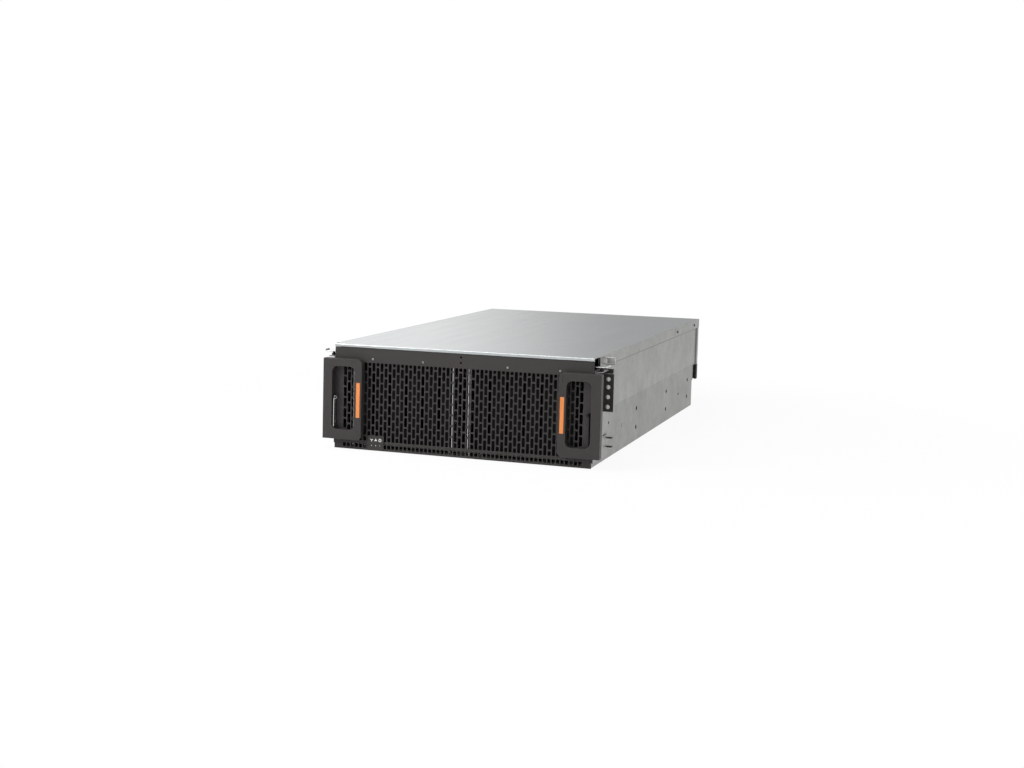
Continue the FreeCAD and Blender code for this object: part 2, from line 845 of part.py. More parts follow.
def make_cover_latch(label, sign):
    """A plated lever bent from sheet: a leaf on the pin and an upright finger tab."""
    latch = new_body("CoverLatch")
    leaf = new_sketch(latch, "XY_Plane", LATCH_LEAF)
    draw_rectangle(leaf, (f"{sign}latch_leaf_inner", f"{sign}latch_leaf_outer"),
                   ("latch_front", "latch_leaf_rear"))
    draw_circle(leaf, f"{sign}latch_pivot_x", "latch_pivot_y", "latch_pin_radius + hinge_clearance")
    pad(latch, leaf, "latch_gauge")
    tab = section_at(latch, "latch_front")
    draw_rectangle(tab, (f"{sign}latch_inner", f"{sign}latch_outer"), (LATCH_LEAF, "latch_top"))
    draw_circle(tab, f"{sign}latch_pivot_x", "latch_window_height", "latch_window_radius")
    pad_back(latch, tab, ("latch_front", "latch_front + latch_gauge"))
    return keep(latch, label)


def make_trigger(label, sign):
    """A slim lever in the grip: a hub on its pin and a blade hanging beside it."""
    centre = (f"{sign}trigger_pivot_x", "trigger_pivot_height")
    back = f"{FRONT} - trigger_gap"
    front = f"{FRONT} - handle_depth + trigger_gap"
    blade_x = (f"{sign}trigger_blade_x - trigger_blade / 2", f"{sign}trigger_blade_x + trigger_blade / 2")
    hub = rod("Y", centre, "trigger_hub_radius", front, back)
    blade = box(blade_x, (front, back), ("trigger_low", "trigger_pivot_height"))
    bore = rod("Y", centre, "trigger_pin_radius + hinge_clearance", front, back)
    return keep(cut(join([hub, blade]), [bore]), label)


def make_hinge_pins():
    """Pins fixed to the chassis: one under each cover latch, one in each trigger."""
    pins = []
    for sign in ("-", ""):
        post = (f"{sign}latch_pivot_x", "latch_pivot_y")
        pins.append(join([
            rod("Z", post, "latch_pin_radius", LATCH_SEAT, f"{LATCH_LEAF} + 2 * latch_gauge"),
            rod("Z", post, "latch_collar_radius", LATCH_SEAT, f"{LATCH_LEAF} - hinge_clearance"),
        ]))
        axle = (f"{sign}trigger_pivot_x", "trigger_pivot_height")
        pins.append(rod("Y", axle, "trigger_pin_radius", f"{FRONT} - handle_depth", FRONT))
    return keep(group(pins), "hinge_pins")


def make_indicator_panel():
    """A plain plate over the grille's lower left, drilled for three small lamps."""
    face = f"{FRONT} - panel_gauge"
    plate = box(("panel_left", "panel_right"), (face, FRONT), ("panel_low", "panel_high"))
    return keep(cut(plate, lamp_rods("lamp_radius", face)), "indicator_panel")


def make_indicator_lenses():
    face = f"{FRONT} - panel_gauge - seat_gap"
    return keep(group(lamp_rods("lamp_radius - hinge_clearance / 2", face)), "indicator_lenses")


def lamp_rods(radius, face):
    """One rod through the panel at each lamp's place."""
    centres = [(f"lamp_first + {index} * lamp_pitch", "lamp_height") for index in range(LAMPS)]
    return [rod("Y", centre, radius, face, FRONT) for centre in centres]


# ---- Drive bay -----------------------------------------------------------------

BAY_SIDE = "(spine_half + divider_gauge)"


def make_centre_spine():
    """Two walls that leave a cooling duct between the halves of the drive bay."""
    span = ("bay_front", "board_rear")
    walls = [
        box((f"-{BAY_SIDE}", "-spine_half"), span, (INNER_FLOOR, "divider_height")),
        box(("spine_half", BAY_SIDE), span, (INNER_FLOOR, "divider_height")),
    ]
    return keep(group(walls), "centre_spine")


def make_duct_wall(label, sign):
    inner, outer = "duct_half", "(duct_half + divider_gauge)"
    across = (inner, outer) if sign == "" else (f"-{outer}", f"-{inner}")
    return keep(box(across, ("bay_front", "board_rear"), (INNER_FLOOR, "divider_height")), label)


def row_start(row):
    return f"(first_drive_row + {row} * drive_row_pitch)"


def make_cross_rails():
    """Level rails across each half of the bay, one low and one high, between the drive rows."""
    rails = []
    for row in range(DRIVE_ROWS + 1):
        back = f"{row_start(row)} - (drive_row_gap - divider_gauge) / 2"
        for sign in ("-", ""):
            inner, outer = f"{sign}{BAY_SIDE}", f"{sign}duct_half"
            across = (inner, outer) if sign == "" else (outer, inner)
            for up in (("drive_floor", "drive_floor + rail_height"),
                       ("divider_height - rail_height", "divider_height")):
                rails.append(box(across, (f"{back} - divider_gauge", back), up))
    return keep(group(rails), "cage_cross_rails")


def drive_columns():
    return [column for column in range(-DRIVES_PER_SIDE, DRIVES_PER_SIDE + 1) if column]


def make_drive_row(row):
    """Twelve disk drives standing on end, six on each side of the spine."""
    drives = []
    for column in drive_columns():
        middle = f"{column} * drive_pitch"
        drives.append(box(about(middle, "drive_width / 2"),
                          (row_start(row), f"{row_start(row)} + drive_length"),
                          ("drive_floor", "drive_floor + drive_height")))
    return keep(group(drives), f"drive_row_{row + 1}")


def make_drive_carriers():
    """The plastic grip on top of every drive."""
    top = "(drive_floor + drive_height)"
    grips = []
    for row in range(DRIVE_ROWS):
        for column in drive_columns():
            middle = f"{column} * drive_pitch"
            along = (f"{row_start(row)} + carrier_grip", f"{row_start(row)} + drive_length - carrier_grip")
            grips.append(box(about(middle, "drive_width / 2"), along, (top, f"{top} + carrier_height")))
    return keep(group(grips), "drive_carriers")


def board_span(sign):
    inner = f"({BAY_SIDE} + seat_gap)"
    outer = "(duct_half - seat_gap)"
    return (inner, outer) if sign == "" else (f"-{outer}", f"-{inner}")


def make_drive_boards():
    along = ("first_drive_row", "board_rear")
    up = ("board_height", "board_height + board_gauge")
    return keep(group([box(board_span(sign), along, up) for sign in ("-", "")]), "drive_boards")


def make_standoffs():
    """Pillars that carry the boards above the base."""
    pillars = []
    for sign in ("-", ""):
        for across in (f"{sign}({BAY_SIDE} + standoff_inset)", f"{sign}(duct_half - standoff_inset)"):
            for along in ("first_drive_row + standoff_inset", "board_rear - standoff_inset"):
                pillars.append(hexagon_pillar(across, along))
    return keep(group(pillars), "board_standoffs")


def hexagon_pillar(across, along):
    pillar = doc.addObject("Part::Prism", "Pillar")
    pillar.Polygon = 6
    bind(pillar, "Circumradius", "standoff_radius")
    bind(pillar, "Height", f"board_height - {INNER_FLOOR}")
    bind(pillar, "Placement.Base.x", across)
    bind(pillar, "Placement.Base.y", along)
    bind(pillar, "Placement.Base.z", INNER_FLOOR)
    return pillar


def make_connectors():
    """One connector rail under each half row of drives."""
    rails = []
    for row in range(DRIVE_ROWS):
        middle = f"({row_start(row)} + drive_length / 2)"
        for sign in ("-", ""):
            near = f"{sign}(drive_pitch - drive_width / 2)"
            far = f"{sign}({DRIVES_PER_SIDE} * drive_pitch + drive_width / 2)"
            across = (near, far) if sign == "" else (far, near)
            rails.append(box(across, about(middle, "connector_width / 2"),
                             ("board_height + board_gauge", "drive_floor")))
    return keep(group(rails), "drive_connectors")


# ---- Rear frame and its modules ------------------------------------------------

LOWER_INNER = f"({LOWER_HALF} - sheet_gauge)"
DECK_TOP = "(step_height + deck_gauge)"
PSU_INNER = f"({LOWER_INNER} - psu_bay)"
BAIL_AXIS = "(module_rear + bail_stand)"
LEVER_AXIS = "(module_rear + lever_stand)"


def fan_place(number):
    """How many fan pitches a fan stands from the centre plane."""
    return number - (len(FANS) + 1) / 2


def fan_centre(number):
    return f"({fan_place(number)} * fan_pitch)"


def make_rear_frame():
    """Deck between the fans and the lower modules, their dividers and an open bulkhead."""
    half_gauge = "divider_gauge / 2"
    parts = [box((f"-{LOWER_INNER}", LOWER_INNER), ("frame_front", "middle_rear"), ("step_height", DECK_TOP))]
    for middle in (f"-({PSU_INNER} - {half_gauge})", "0", f"({PSU_INNER} - {half_gauge})"):
        parts.append(box(about(middle, half_gauge),
                         ("frame_front", "lower_rear"), (INNER_FLOOR, "step_height")))
    for middle in ("-fan_pitch", "0", "fan_pitch"):
        parts.append(box(about(middle, half_gauge),
                         ("fan_bay_front", "middle_rear"), (DECK_TOP, f"{COVER_UNDER} - seat_gap")))
    along = ("frame_front", "frame_front + divider_gauge")
    low, high = f"({DECK_TOP} + bulkhead_rim)", "(divider_height - bulkhead_rim)"
    for up in ((DECK_TOP, low), (high, "divider_height")):
        parts.append(box((f"-{LOWER_INNER}", LOWER_INNER), along, up))
    for start, end in bulkhead_posts():
        parts.append(box((start, end), along, (low, high)))
    return keep(group(parts), "rear_frame")


def bulkhead_posts():
    """Left and right edges of the posts that stand between the bulkhead's openings."""
    edges = [f"-{LOWER_INNER}"]
    for number in FANS:
        middle = fan_centre(number)
        edges += [f"{middle} - bulkhead_window / 2", f"{middle} + bulkhead_window / 2"]
    edges.append(LOWER_INNER)
    return zip(edges[::2], edges[1::2])


def make_midplane():
    """The upright board that the lower modules plug into."""
    return keep(box((f"-{LOWER_INNER} + module_clearance", f"{LOWER_INNER} - module_clearance"),
                    ("midplane_front", "midplane_front + board_gauge"),
                    (f"{INNER_FLOOR} + seat_gap", f"step_height - module_clearance")), "midplane_board")


def guard_openings(number):
    """The quarters between the struts that carry a fan's motor, as one compound."""
    spokes = int(size("fan_spokes"))
    centre = FreeCAD.Vector(fan_place(number) * size("fan_pitch"), size("fan_rear") - size("fan_face"),
                            size("fan_height"))
    along = FreeCAD.Vector(0, 1, 0)
    ring = Part.makeCylinder(size("fan_opening"), size("fan_face"), centre, along)
    disc = Part.makeCylinder(size("fan_hub_disc"), size("fan_face"), centre, along)
    struts = []
    for index in range(spokes):
        strut = Part.makeBox(size("fan_opening"), size("fan_face"), size("fan_spoke"))
        strut.translate(centre + FreeCAD.Vector(0, 0, -size("fan_spoke") / 2))
        strut.rotate(centre, along, 360 * (index + 0.5) / spokes)
        struts.append(strut)
    return coded(ring.cut([disc] + struts))


def ear_pair(middle, reach, face, stand, radius, pin_height):
    """Two ears on a face, either side of the part that turns between them."""
    along = (face, f"{face} + {stand} + 2 * {radius}")
    up = about(pin_height, f"2 * {radius}")
    return [
        box((f"{middle} + {start}", f"{middle} + {end}"), along, up)
        for start, end in ((f"-{reach} - latch_ear", f"-{reach}"), (reach, f"{reach} + latch_ear"))
    ]


def latch_ears(middle, face, pin_height):
    """Two ears and the pin between them, which carry a latch on a module's face."""
    reach = "(latch_width / 2 + seat_gap)"
    pin = rod("X", (f"({face} + latch_stand)", pin_height), "latch_pin", f"{middle} - {reach} - latch_ear",
              f"{middle} + {reach} + latch_ear")
    return ear_pair(middle, reach, face, "latch_stand", "latch_pin", pin_height) + [pin]


def make_face_latch(label, middle, face, pin_height, length):
    """A spring latch hanging from its pin on a module's face."""
    half = "latch_thickness / 2"
    axis_y = f"({face} + latch_stand)"
    blade = box(about(middle, "latch_width / 2"),
                about(axis_y, half),
                (f"{pin_height} - {length}", f"{pin_height} + latch_thickness / 2"))
    bore = rod("X", (axis_y, pin_height), "latch_pin + hinge_clearance",
               f"{middle} - latch_width / 2", f"{middle} + latch_width / 2")
    return keep(cut(blade, [bore]), label)


def make_fan_module(number):
    """A square duct open to the front, closed behind by a spoked finger guard."""
    middle = fan_centre(number)
    outer = box(about(middle, "fan_half_width"), ("fan_front", "fan_rear"),
                ("fan_low", "fan_high"))
    hollow = box((f"{middle} - fan_half_width + fan_wall", f"{middle} + fan_half_width - fan_wall"),
                 ("fan_front", "fan_rear - fan_face"), ("fan_low + fan_wall", "fan_high - fan_wall"))
    guard = guard_openings(number)
    centre = (middle, "fan_height")
    motor_front = "fan_rear - fan_face - motor_length"
    motor = rod("Y", centre, "motor_radius", motor_front, "fan_rear - fan_face")
    spindle = rod("Y", centre, "spindle_radius", "impeller_front + spindle_radius", motor_front)
    latch_middle = f"({middle} + fan_latch_offset)"
    ears = latch_ears(latch_middle, "fan_rear", "fan_latch_pin_height")
    make_face_latch(f"fan_latch_{number}", latch_middle, "fan_rear", "fan_latch_pin_height",
                    "fan_latch_length")
    return keep(join([cut(outer, [hollow, guard]), motor, spindle] + ears), f"fan_module_{number}")


def make_impeller(number):
    """A hub with pitched blades, turning on the motor's spindle."""
    centre = FreeCAD.Vector(fan_place(number) * size("fan_pitch"), size("impeller_front"), size("fan_height"))
    along = FreeCAD.Vector(0, 1, 0)
    length = size("impeller_length")
    hub = Part.makeCylinder(size("impeller_hub"), length, centre, along)
    root = size("impeller_hub") - size("blade_gauge")
    chord = (length - 2 * size("blade_gauge")) / math.cos(math.radians(size("blade_twist")))
    blades = []
    count = int(size("impeller_blades"))
    for index in range(count):
        blade = Part.makeBox(size("impeller_radius") - root, chord, size("blade_gauge"))
        blade.translate(FreeCAD.Vector(root, -chord / 2, -size("blade_gauge") / 2))
        blade.rotate(FreeCAD.Vector(), FreeCAD.Vector(1, 0, 0), size("blade_twist"))
        blade.rotate(FreeCAD.Vector(), along, 360 * index / count)
        blade.translate(centre + FreeCAD.Vector(0, length / 2, 0))
        blades.append(blade)
    bore = Part.makeCylinder(size("spindle_radius") + size("spindle_clearance"), length, centre, along)
    wheel = hub.fuse(blades).cut(bore).removeSplitter()
    return keep(coded(wheel.Solids[0]), f"fan_impeller_{number}")


def module_shell(inner, outer, nose):
    """A thin housing open to the front, with a thick rear nose for its sockets."""
    floor = f"({INNER_FLOOR} + seat_gap)"
    roof = "(step_height - module_clearance)"
    case = box((inner, outer), ("module_front", "module_rear"), (floor, roof))
    hollow = box((f"{inner} + module_wall", f"{outer} - module_wall"),
                 ("module_front", f"module_rear - {nose}"),
                 (f"{floor} + module_wall", f"{roof} - module_wall"))
    return case, hollow


def psu_middle(sign):
    return f"({sign}({LOWER_INNER} - psu_bay / 2))"


def make_psu(number, sign):
    """A power supply: inlet socket, exhaust slots, latch and folding bail at the rear."""
    middle = psu_middle(sign)
    half = "(psu_bay / 2 - module_clearance)"
    case, hollow = module_shell(f"({middle} - {half})", f"({middle} + {half})", "module_nose")
    inlet_x = f"({middle} - inlet_offset)"
    inlet = box(about(inlet_x, "inlet_width / 2"),
                ("module_rear - inlet_depth", "module_rear"),
                ("inlet_centre - inlet_height / 2", "inlet_centre + inlet_height / 2"))
    cuts = [hollow, inlet] + exhaust_cuts(middle)
    bail_x = f"({middle} + exhaust_offset)"
    parts = [cut(case, cuts)] + inlet_blades(inlet_x) + bail_mounts(bail_x)
    parts += latch_ears(inlet_x, "module_rear", "psu_latch_pin_height")
    make_face_latch(f"psu_latch_{number}", inlet_x, "module_rear", "psu_latch_pin_height", "psu_latch_length")
    make_bail(number, bail_x)
    return keep(join(parts), f"psu_{number}")


def exhaust_cuts(middle):
    slots = []
    count = int(size("exhaust_slots"))
    for index in range(count):
        slot_x = f"({middle} + exhaust_offset + {index - (count - 1) / 2} * exhaust_pitch)"
        slots.append(box(about(slot_x, "exhaust_slot / 2"),
                         ("module_rear - module_nose", "module_rear"), ("exhaust_low", "exhaust_high")))
    return slots


def inlet_blades(inlet_x):
    """Live, earth and neutral blades; the earth blade stands higher, in the middle."""
    blades = []
    for shift, rise in ((-1, -1), (0, 1), (1, -1)):
        blade_x = f"({inlet_x} + {shift} * inlet_width / 4)"
        blade_z = f"(inlet_centre + {rise} * inlet_height / 8)"
        blades.append(box(about(blade_x, "inlet_blade / 2"),
                          ("module_rear - inlet_depth", "module_rear - inlet_depth + inlet_blade_length"),
                          about(blade_z, "inlet_blade")))
    return blades


def bail_mounts(bail_x):
    """Two ears with a stub pin each, which the bail's arms turn on."""
    reach = "(bail_width / 2 + seat_gap)"
    centre = (BAIL_AXIS, "bail_pin_height")
    stubs = [
        rod("X", centre, "bail_pin", f"{bail_x} - {reach} - latch_ear", f"{bail_x} - {reach} + bail_bar / 2"),
        rod("X", centre, "bail_pin", f"{bail_x} + {reach} - bail_bar / 2", f"{bail_x} + {reach} + latch_ear"),
    ]
    return ear_pair(bail_x, reach, "module_rear", "bail_stand", "bail_pin", "bail_pin_height") + stubs


def make_bail(number, bail_x):
    """A square-bar bail that hangs flat and swings up to pull the unit out."""
    half = "bail_bar / 2"
    along = about(BAIL_AXIS, half)
    low = "(bail_pin_height - bail_drop)"
    top = f"bail_pin_height + {half}"
    left, right = f"({bail_x} - bail_width / 2)", f"({bail_x} + bail_width / 2)"
    bars = [
        box((left, f"{left} + bail_bar"), along, (low, top)),
        box((f"{right} - bail_bar", right), along, (low, top)),
        box((left, right), along, (low, f"{low} + bail_bar")),
    ]
    bores = [
        rod("X", (BAIL_AXIS, "bail_pin_height"), "bail_pin + hinge_clearance", left, f"{left} + bail_bar"),
        rod("X", (BAIL_AXIS, "bail_pin_height"), "bail_pin + hinge_clearance", f"{right} - bail_bar", right),
    ]
    return keep(cut(join(bars), bores), f"psu_bail_{number}")


def make_io_module(number, sign):
    """An interface module: a block of cable ports, a network port and an ejector lever."""
    inner = "(divider_gauge / 2 + module_clearance)"
    outer = f"({PSU_INNER} - divider_gauge - module_clearance)"
    span = (inner, outer) if sign == "" else (f"-{outer}", f"-{inner}")
    case, hollow = module_shell(span[0], span[1], "module_nose")
    pivot_x = f"({sign}({outer} - lever_pivot_inset))"
    ears = []
    for low, high in (("lever_low - seat_gap - lever_ear", "lever_low - seat_gap"),
                      ("lever_high + seat_gap", "lever_high + seat_gap + lever_ear")):
        ears.append(box(about(pivot_x, "2 * lever_pin"),
                        ("module_rear", f"{LEVER_AXIS} + 2 * lever_pin"), (low, high)))
    pin = rod("Z", (pivot_x, LEVER_AXIS), "lever_pin", "lever_low - seat_gap - lever_ear",
              "lever_high + seat_gap + lever_ear")
    make_io_lever(number, sign, pivot_x)
    return keep(join([cut(case, [hollow] + port_cuts(sign, inner)), pin] + ears), f"io_module_{number}")


def port_cuts(sign, inner):
    """Recesses for the cable ports, two rows of three, and for the network port."""
    recess = ("module_rear - port_depth", "module_rear")
    cuts = []
    for column in range(int(size("port_columns"))):
        for row in range(int(size("port_rows"))):
            port_x = f"({sign}({inner} + port_first + {column} * port_pitch))"
            port_z = f"(port_low + {row} * port_rise)"
            cuts.append(box(about(port_x, "port_width / 2"), recess,
                            (port_z, f"{port_z} + port_height")))
    network_x = f"({sign}({inner} + network_offset))"
    cuts.append(box(about(network_x, "network_width / 2"), recess,
                    ("port_low", "port_low + network_width")))
    return cuts


def make_io_lever(number, sign, pivot_x):
    """A long ejector lever folded across the module's face."""
    along = about(LEVER_AXIS, "lever_gauge / 2")
    if sign == "":
        across = (f"{pivot_x} - lever_length", f"{pivot_x} + lever_overhang")
    else:
        across = (f"{pivot_x} - lever_overhang", f"{pivot_x} + lever_length")
    bar = box(across, along, ("lever_low", "lever_high"))
    bore = rod("Z", (pivot_x, LEVER_AXIS), "lever_pin + hinge_clearance", "lever_low", "lever_high")
    return keep(cut(bar, [bore]), f"io_lever_{number}")


# ---- The whole shelf -----------------------------------------------------------

def make_all():
    make_chassis_tub()
    make_front_grille()
    make_lower_vent()
    make_grille_screws()
    make_front_cover()
    make_rear_cover()
    make_cover_screws()
    for side, sign in SIDES:
        make_handle(f"{side}_handle", sign)
        make_touch_strip(f"{side}_touch_strip", sign)
        make_ear_bracket(f"{side}_ear_bracket", sign)
        make_rack_flange(f"{side}_rack_flange", sign)
        make_cover_latch(f"{side}_cover_latch", sign)
        make_trigger(f"{side}_release_trigger", sign)
        make_duct_wall(f"{side}_duct_wall", sign)
    make_ear_screws()
    make_hinge_pins()
    make_indicator_panel()
    make_indicator_lenses()
    make_centre_spine()
    make_cross_rails()
    for row in range(DRIVE_ROWS):
        make_drive_row(row)
    make_drive_carriers()
    make_drive_boards()
    make_standoffs()
    make_connectors()
    make_rear_frame()
    make_midplane()
    for number in FANS:
        make_fan_module(number)
        make_impeller(number)
    for number, sign in enumerate(("-", ""), start=1):
        make_psu(number, sign)
        make_io_module(number, sign)


def check_document():
    """Stop if any object failed or any kept piece is empty or broken."""
    doc.recompute()
    for item in doc.Objects:
        if "Invalid" in item.State or "Error" in item.State:
            raise RuntimeError(f"{item.Name} ({item.Label}) did not build: {item.State}")
    for item in kept:
        if item.Shape.isNull() or not item.Shape.isValid():
            raise RuntimeError(f"{item.Label} has no sound shape")


def write_parts():
    os.makedirs("parts", exist_ok=True)
    for item in kept:
        item.Shape.exportStep(f"parts/{item.Label}.step")
        print(item.Label, len(item.Shape.Solids), round(item.Shape.Volume))


make_all()
check_document()
write_parts()
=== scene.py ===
import json
import math

import bmesh
import bpy
from mathutils import Matrix, Vector

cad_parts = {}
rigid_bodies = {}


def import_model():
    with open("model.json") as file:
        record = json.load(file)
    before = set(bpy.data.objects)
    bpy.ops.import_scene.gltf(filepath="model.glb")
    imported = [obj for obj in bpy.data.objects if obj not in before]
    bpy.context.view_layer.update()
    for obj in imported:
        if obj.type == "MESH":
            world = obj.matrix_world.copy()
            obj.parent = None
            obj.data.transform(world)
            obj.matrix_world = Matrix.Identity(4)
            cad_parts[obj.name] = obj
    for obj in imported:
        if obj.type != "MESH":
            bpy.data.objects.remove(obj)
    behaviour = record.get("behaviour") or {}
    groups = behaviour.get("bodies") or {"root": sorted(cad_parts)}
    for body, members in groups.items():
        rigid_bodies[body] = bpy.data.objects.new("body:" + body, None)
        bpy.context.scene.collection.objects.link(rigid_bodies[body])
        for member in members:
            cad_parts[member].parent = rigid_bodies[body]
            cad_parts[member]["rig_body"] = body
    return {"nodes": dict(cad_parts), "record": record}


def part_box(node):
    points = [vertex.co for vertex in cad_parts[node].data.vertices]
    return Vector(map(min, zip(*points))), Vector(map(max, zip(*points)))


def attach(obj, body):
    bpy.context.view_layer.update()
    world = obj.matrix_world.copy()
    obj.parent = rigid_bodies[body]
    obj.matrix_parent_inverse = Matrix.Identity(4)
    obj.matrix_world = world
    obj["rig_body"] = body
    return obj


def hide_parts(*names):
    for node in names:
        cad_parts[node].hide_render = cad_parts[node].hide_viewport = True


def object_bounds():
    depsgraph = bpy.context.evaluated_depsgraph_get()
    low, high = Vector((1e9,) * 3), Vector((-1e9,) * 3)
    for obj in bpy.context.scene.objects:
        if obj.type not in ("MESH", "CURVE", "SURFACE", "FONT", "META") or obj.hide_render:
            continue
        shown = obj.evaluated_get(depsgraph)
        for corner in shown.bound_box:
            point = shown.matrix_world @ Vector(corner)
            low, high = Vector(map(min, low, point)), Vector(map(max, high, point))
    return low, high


# A top-loading disk shelf for a 19 inch rack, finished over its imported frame.
# Metres, in the frame's own axes: +X to the right seen from the front, +Y to the
# rear, +Z up.

bl_info = {
    "name": "Disk shelf finish",
    "version": (1, 0, 0),
    "blender": (4, 5, 0),
    "location": "3D View > Sidebar > Disk shelf",
    "description": "Builds the visible pieces of a rack disk shelf round its packed frame",
    "category": "Object",
}

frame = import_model()
CAD_BOX = [list(corner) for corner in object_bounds()]
NODE_SLOTS = {row["node"]: row["material_slot"] for row in frame["record"]["subparts"]}
MM = 0.001
SIGNS = {"left": -1, "right": 1}
FANS = (1, 2, 3, 4)
DRIVE_ROWS = (1, 2, 3, 4, 5)
SHEET_GAUGE = 1.5 * MM
# Nuts in each side wall as (distance behind the rack's face, height), in millimetres.
RAIL_NUTS = tuple((along, up) for along in (262, 511, 713) for up in (24.5, 58))
LOCK_NUTS = ((61, 59), (626, 40))
# Heights of the two small holes in the header, and their size as a share of a slot's width.
HEADER_HOLES = (154.3 * MM, 163.7 * MM)
HEADER_HOLE_SCALE = 0.6
# Place along Y where the strip of painted shadow under the seam starts, and the heights of the rear
# bumpers.
SHADOW_STRIP_FRONT = -40 * MM
BUMPER_LOW, BUMPER_HIGH = 52 * MM, 81.8 * MM
# Height of the printed row above the indicator panel's lower edge.
PRINT_HEIGHT = 17.2 * MM
# Rear face of the struts that carry the fan guards' rings.
GUARD_PLANE = 793 * MM
# The viewing place, its yaw, pitch and roll in degrees, its lens and the lens's shift.
VIEW_PLACE = (0.8344, -2.4732, 0.447)
VIEW_TURN = (-20.848, 5.461, 1.149)
VIEW_LENS = 56.31
VIEW_SHIFT = (0.1, -0.05)


# ---- Small helpers ---------------------------------------------------------------


def linear(code):
    """A six-digit sRGB colour as linear red, green, blue and alpha."""
    shares = [int(code[i:i + 2], 16) / 255 for i in (1, 3, 5)]
    return tuple(s / 12.92 if s <= 0.04045 else ((s + 0.055) / 1.055) ** 2.4
                 for s in shares) + (1.0,)


def toned(colour, share):
    """A linear colour made darker or lighter, kept within white."""
    return tuple(min(1.0, c * share) for c in colour[:3]) + (1.0,)


def add(tree, kind, inputs=None, **settings):
    """Add a node; an input takes a value, a socket, a node's first output, or a list of those.

    A kind that doesn't name its family belongs to the tree's own.
    """
    if "Node" not in kind:
        kind = tree.bl_idname.removesuffix("Tree") + kind
    made = tree.nodes.new(kind)
    for key, value in settings.items():
        setattr(made, key, value)
    for key, value in (inputs or {}).items():
        for entry in value if isinstance(value, list) else [value]:
            if isinstance(entry, bpy.types.Node):
                tree.links.new(entry.outputs[0], made.inputs[key])
            elif isinstance(entry, bpy.types.NodeSocket):
                tree.links.new(entry, made.inputs[key])
            else:
                made.inputs[key].default_value = entry
    return made


def worked(tree, operation, *values):
    """The result of one mathematical operation on numbers, nodes or sockets."""
    return add(tree, "ShaderNodeMath", dict(enumerate(values)), operation=operation).outputs[0]


def emptied(owner):
    """The node tree of a material or world, with nothing in it."""
    owner.use_nodes = True
    owner.node_tree.nodes.clear()
    return owner.node_tree


def sizes():
    return bpy.context.scene.shelf_sizes


def colours():
    return bpy.context.scene.shelf_colours


def edge_of(node, corner, axis):
    """One coordinate of a CAD node's box: corner 0 is the lowest, 1 the highest."""
    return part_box(node)[corner]["xyz".index(axis)]


def loose(name, mesh):
    """Link a mesh for modifiers to work on; it isn't a finished piece yet."""
    item = bpy.data.objects.new(name, mesh)
    bpy.context.scene.collection.objects.link(item)
    return item


def settled(item):
    """The plain mesh an object's modifiers make; the object itself goes."""
    bpy.context.view_layer.update()
    graph = bpy.context.evaluated_depsgraph_get()
    mesh = bpy.data.meshes.new_from_object(item.evaluated_get(graph))
    bpy.data.objects.remove(item)
    return mesh


def piece(name, mesh, slot, body="chassis", finish=None):
    """A finished object that rides on a body."""
    item = loose(name, mesh)
    mesh.materials.clear()
    mesh.materials.append(bpy.data.materials[finish or FINISH_OF_SLOT[slot]])
    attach(item, body)
    return item


def stand_in(name, mesh, node, finish=None, slot=None):
    """A finished object that replaces a CAD node and rides on its body; unless a finish is given,
    it takes the finish of the given slot or of the node's.
    """
    item = piece(name, mesh, slot or NODE_SLOTS[node], frame["nodes"][node]["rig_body"], finish)
    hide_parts(node)
    return item


def mesh_from(form, name):
    mesh = bpy.data.meshes.new(name)
    form.to_mesh(mesh)
    form.free()
    return mesh


def shaded(mesh):
    """Smooth shading that keeps edges sharp past 40 degrees."""
    mesh.shade_smooth()
    mesh.set_sharp_from_angle(angle=math.radians(40))
    return mesh


def add_box(form, low, high):
    """A block between two corners, in a mesh under construction."""
    low, high = Vector(low), Vector(high)
    for vertex in bmesh.ops.create_cube(form, size=1.0)["verts"]:
        vertex.co = (low + high) / 2 + Vector(a * b for a, b in zip(vertex.co, high - low))


def unit_circle(steps):
    """Evenly spaced (cosine, sine) pairs."""
    turns = [2 * math.pi * i / steps for i in range(steps)]
    return [(math.cos(turn), math.sin(turn)) for turn in turns]


def bridge(form, lower, upper):
    """Faces between two closed rings; a ring of one vertex makes triangles."""
    steps = max(len(lower), len(upper))
    for i in range(steps):
        after = (i + 1) % steps
        corners = [lower[i % len(lower)], lower[after % len(lower)],
                   upper[after % len(upper)], upper[i % len(upper)]]
        form.faces.new(list(dict.fromkeys(corners)))


def add_turned(form, profile, steps, centre, along_y=False):
    """A solid turned about +Z or +Y from (radius, height) pairs that start and end on the axis."""
    turn = Matrix.Rotation(-math.pi / 2, 3, "X") if along_y else Matrix.Identity(3)
    rings = []
    for radius, height in profile:
        flat = unit_circle(steps) if radius else [(1, 0)]
        ring = [turn @ Vector((radius * x, radius * y, height)) for x, y in flat]
        rings.append([form.verts.new(Vector(centre) + point) for point in ring])
    for lower, upper in zip(rings, rings[1:]):
        bridge(form, lower, upper)


def soften(mesh, width, steps=2, angle=35):
    """Break a mesh's edges with a small round and keep its flat faces flat."""
    item = loose("Edges", mesh)
    bevel = item.modifiers.new("Edges", "BEVEL")
    bevel.width = width
    bevel.segments = steps
    bevel.limit_method = "ANGLE"
    bevel.angle_limit = math.radians(angle)
    bevel.use_clamp_overlap = True
    rounded = settled(item)
    rounded.shade_smooth()
    item = loose("Flats", rounded)
    flats = item.modifiers.new("Flats", "WEIGHTED_NORMAL")
    flats.keep_sharp = True
    return settled(item)


def merged(node):
    """A CAD node's mesh, opened for work and with its doubled vertices made one."""
    form = bmesh.new()
    form.from_mesh(frame["nodes"][node].data)
    bmesh.ops.remove_doubles(form, verts=form.verts, dist=MM * 0.005)
    return form


